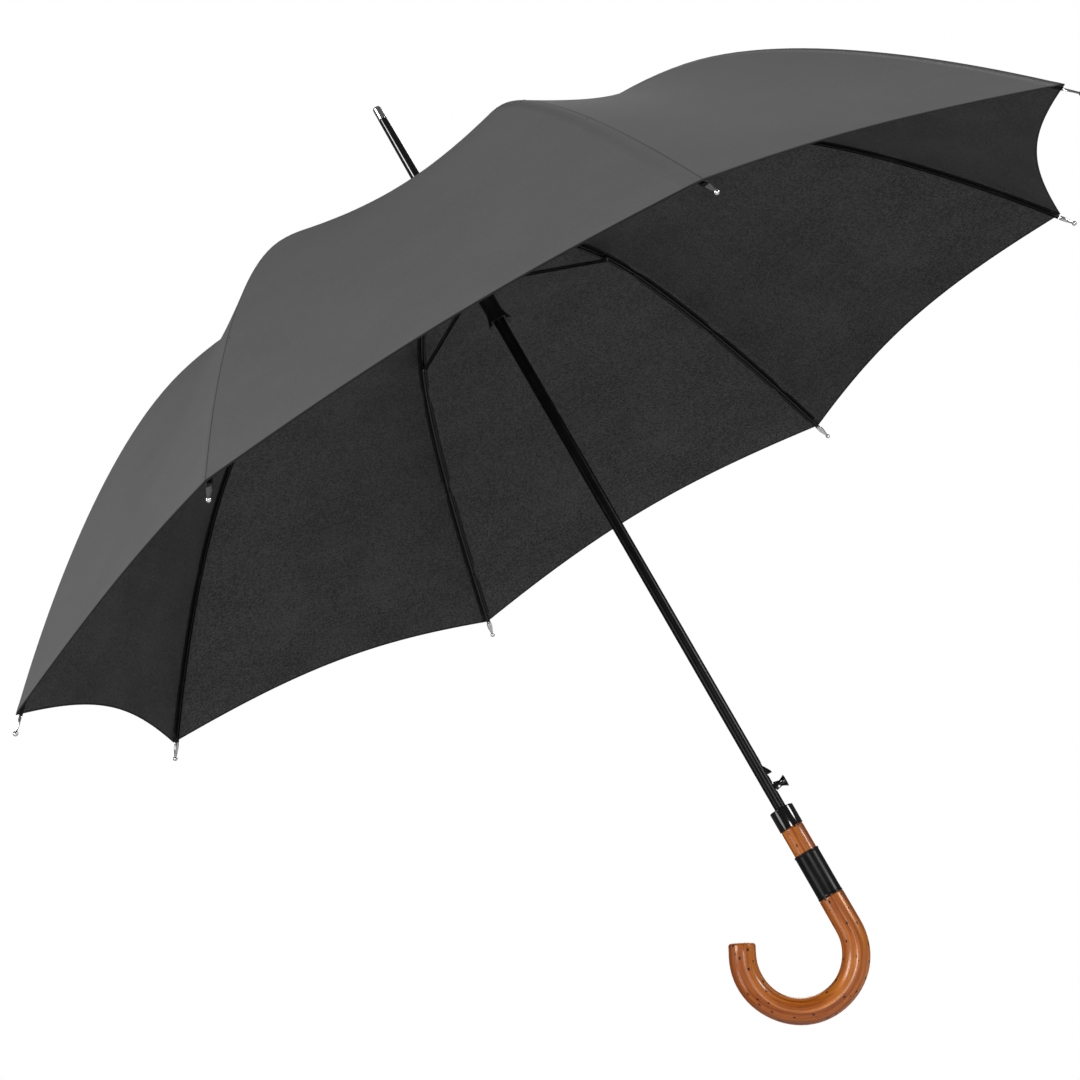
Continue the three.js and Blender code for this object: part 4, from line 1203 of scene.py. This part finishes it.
# ---- Closing strap and its stud ----
# A double strip of the canopy's cloth, stitched along both edges and sewn to a seam at the hem, with half of
# a press stud near its free end.
STRAP_RIB = 4
STRAP_HALF = 0.011
STRAP_LENGTH = 0.170
STRAP = 0.0009
STRAP_LIFT = CLOTH_LIFT + CLOTH + 0.0006
STRAP_EDGE = 0.55
STUD_FROM_END = 0.009
strap_end = 0.97
strap_start = strap_end - STRAP_LENGTH / RIB_LENGTH


def beside_seam(share, sideways, lift):
    """A point of the cloth at a sideways distance from the strap's rib."""
    radius = cloth_flat(share, 0, lift)[0]
    return cloth_point(STRAP_RIB, share, sideways / radius, lift)


rows, columns = 26, 12
points, places = [], []
for top in (True, False):
    for j in range(rows + 1):
        share = strap_start + (strap_end - strap_start) * j / rows
        narrow = 1 - 0.35 * max(0, 1 - j / 2.5) ** 2
        for i in range(columns + 1):
            sideways = (2 * i / columns - 1) * STRAP_HALF * narrow
            edge = 1 - (2 * abs(i / columns - 0.5)) ** 8
            thick = STRAP * (STRAP_EDGE + (1 - STRAP_EDGE) * edge) if top else 0
            points.append(beside_seam(share, sideways, STRAP_LIFT + thick))
            inset = STRAP_HALF * narrow - abs(sideways)
            places.append((sideways + CLEAR_OF_SEAM, share * RIB_LENGTH, inset))
row, layer = columns + 1, (columns + 1) * (rows + 1)
faces = []
for j in range(rows):
    for i in range(columns):
        a = j * row + i
        under = layer + a
        faces += [(a, a + row, a + row + 1, a + 1), (under, under + 1, under + row + 1, under + row)]
for i in range(columns):
    a, b = i, rows * row + i
    faces += [(a, a + 1, layer + a + 1, layer + a), (b + 1, b, layer + b, layer + b + 1)]
for j in range(rows):
    a, b = j * row, j * row + columns
    faces += [(a + row, a, layer + a, layer + a + row), (b, b + row, layer + b + row, layer + b)]
body = f"rib_{STRAP_RIB}_outer"
strap = piece("closing_strap", points, faces, body, "canopy_cloth", outer_cloth, ["closure_strap"])
note_places(strap.data, places)

stud_share = strap_start + STUD_FROM_END / RIB_LENGTH
stud_up = in_plane(STRAP_RIB, rib_at(stud_share * RIB_LENGTH)[1])
stud_side = Z.cross(bearing(STRAP_RIB))
stud_third = stud_up.cross(stud_side)
stud_base = in_plane(STRAP_RIB, Vector(cloth_flat(stud_share, 0, STRAP_LIFT + STRAP + 0.0003)))
shape = [(0, TINY), (0, 0.005), (0.0006, 0.005), (0.0010, 0.0046), (0.0012, 0.0034), (0.0012, 0.0026),
         (0.0018, 0.0022), (0.0018, TINY)]
points, faces = rings([circle(stud_base + h * stud_up, stud_side, stud_third, r, 36) for h, r in shape])
piece("press_stud", points, faces, body, "bright_metal", bright_plate, ["strap_stud"])
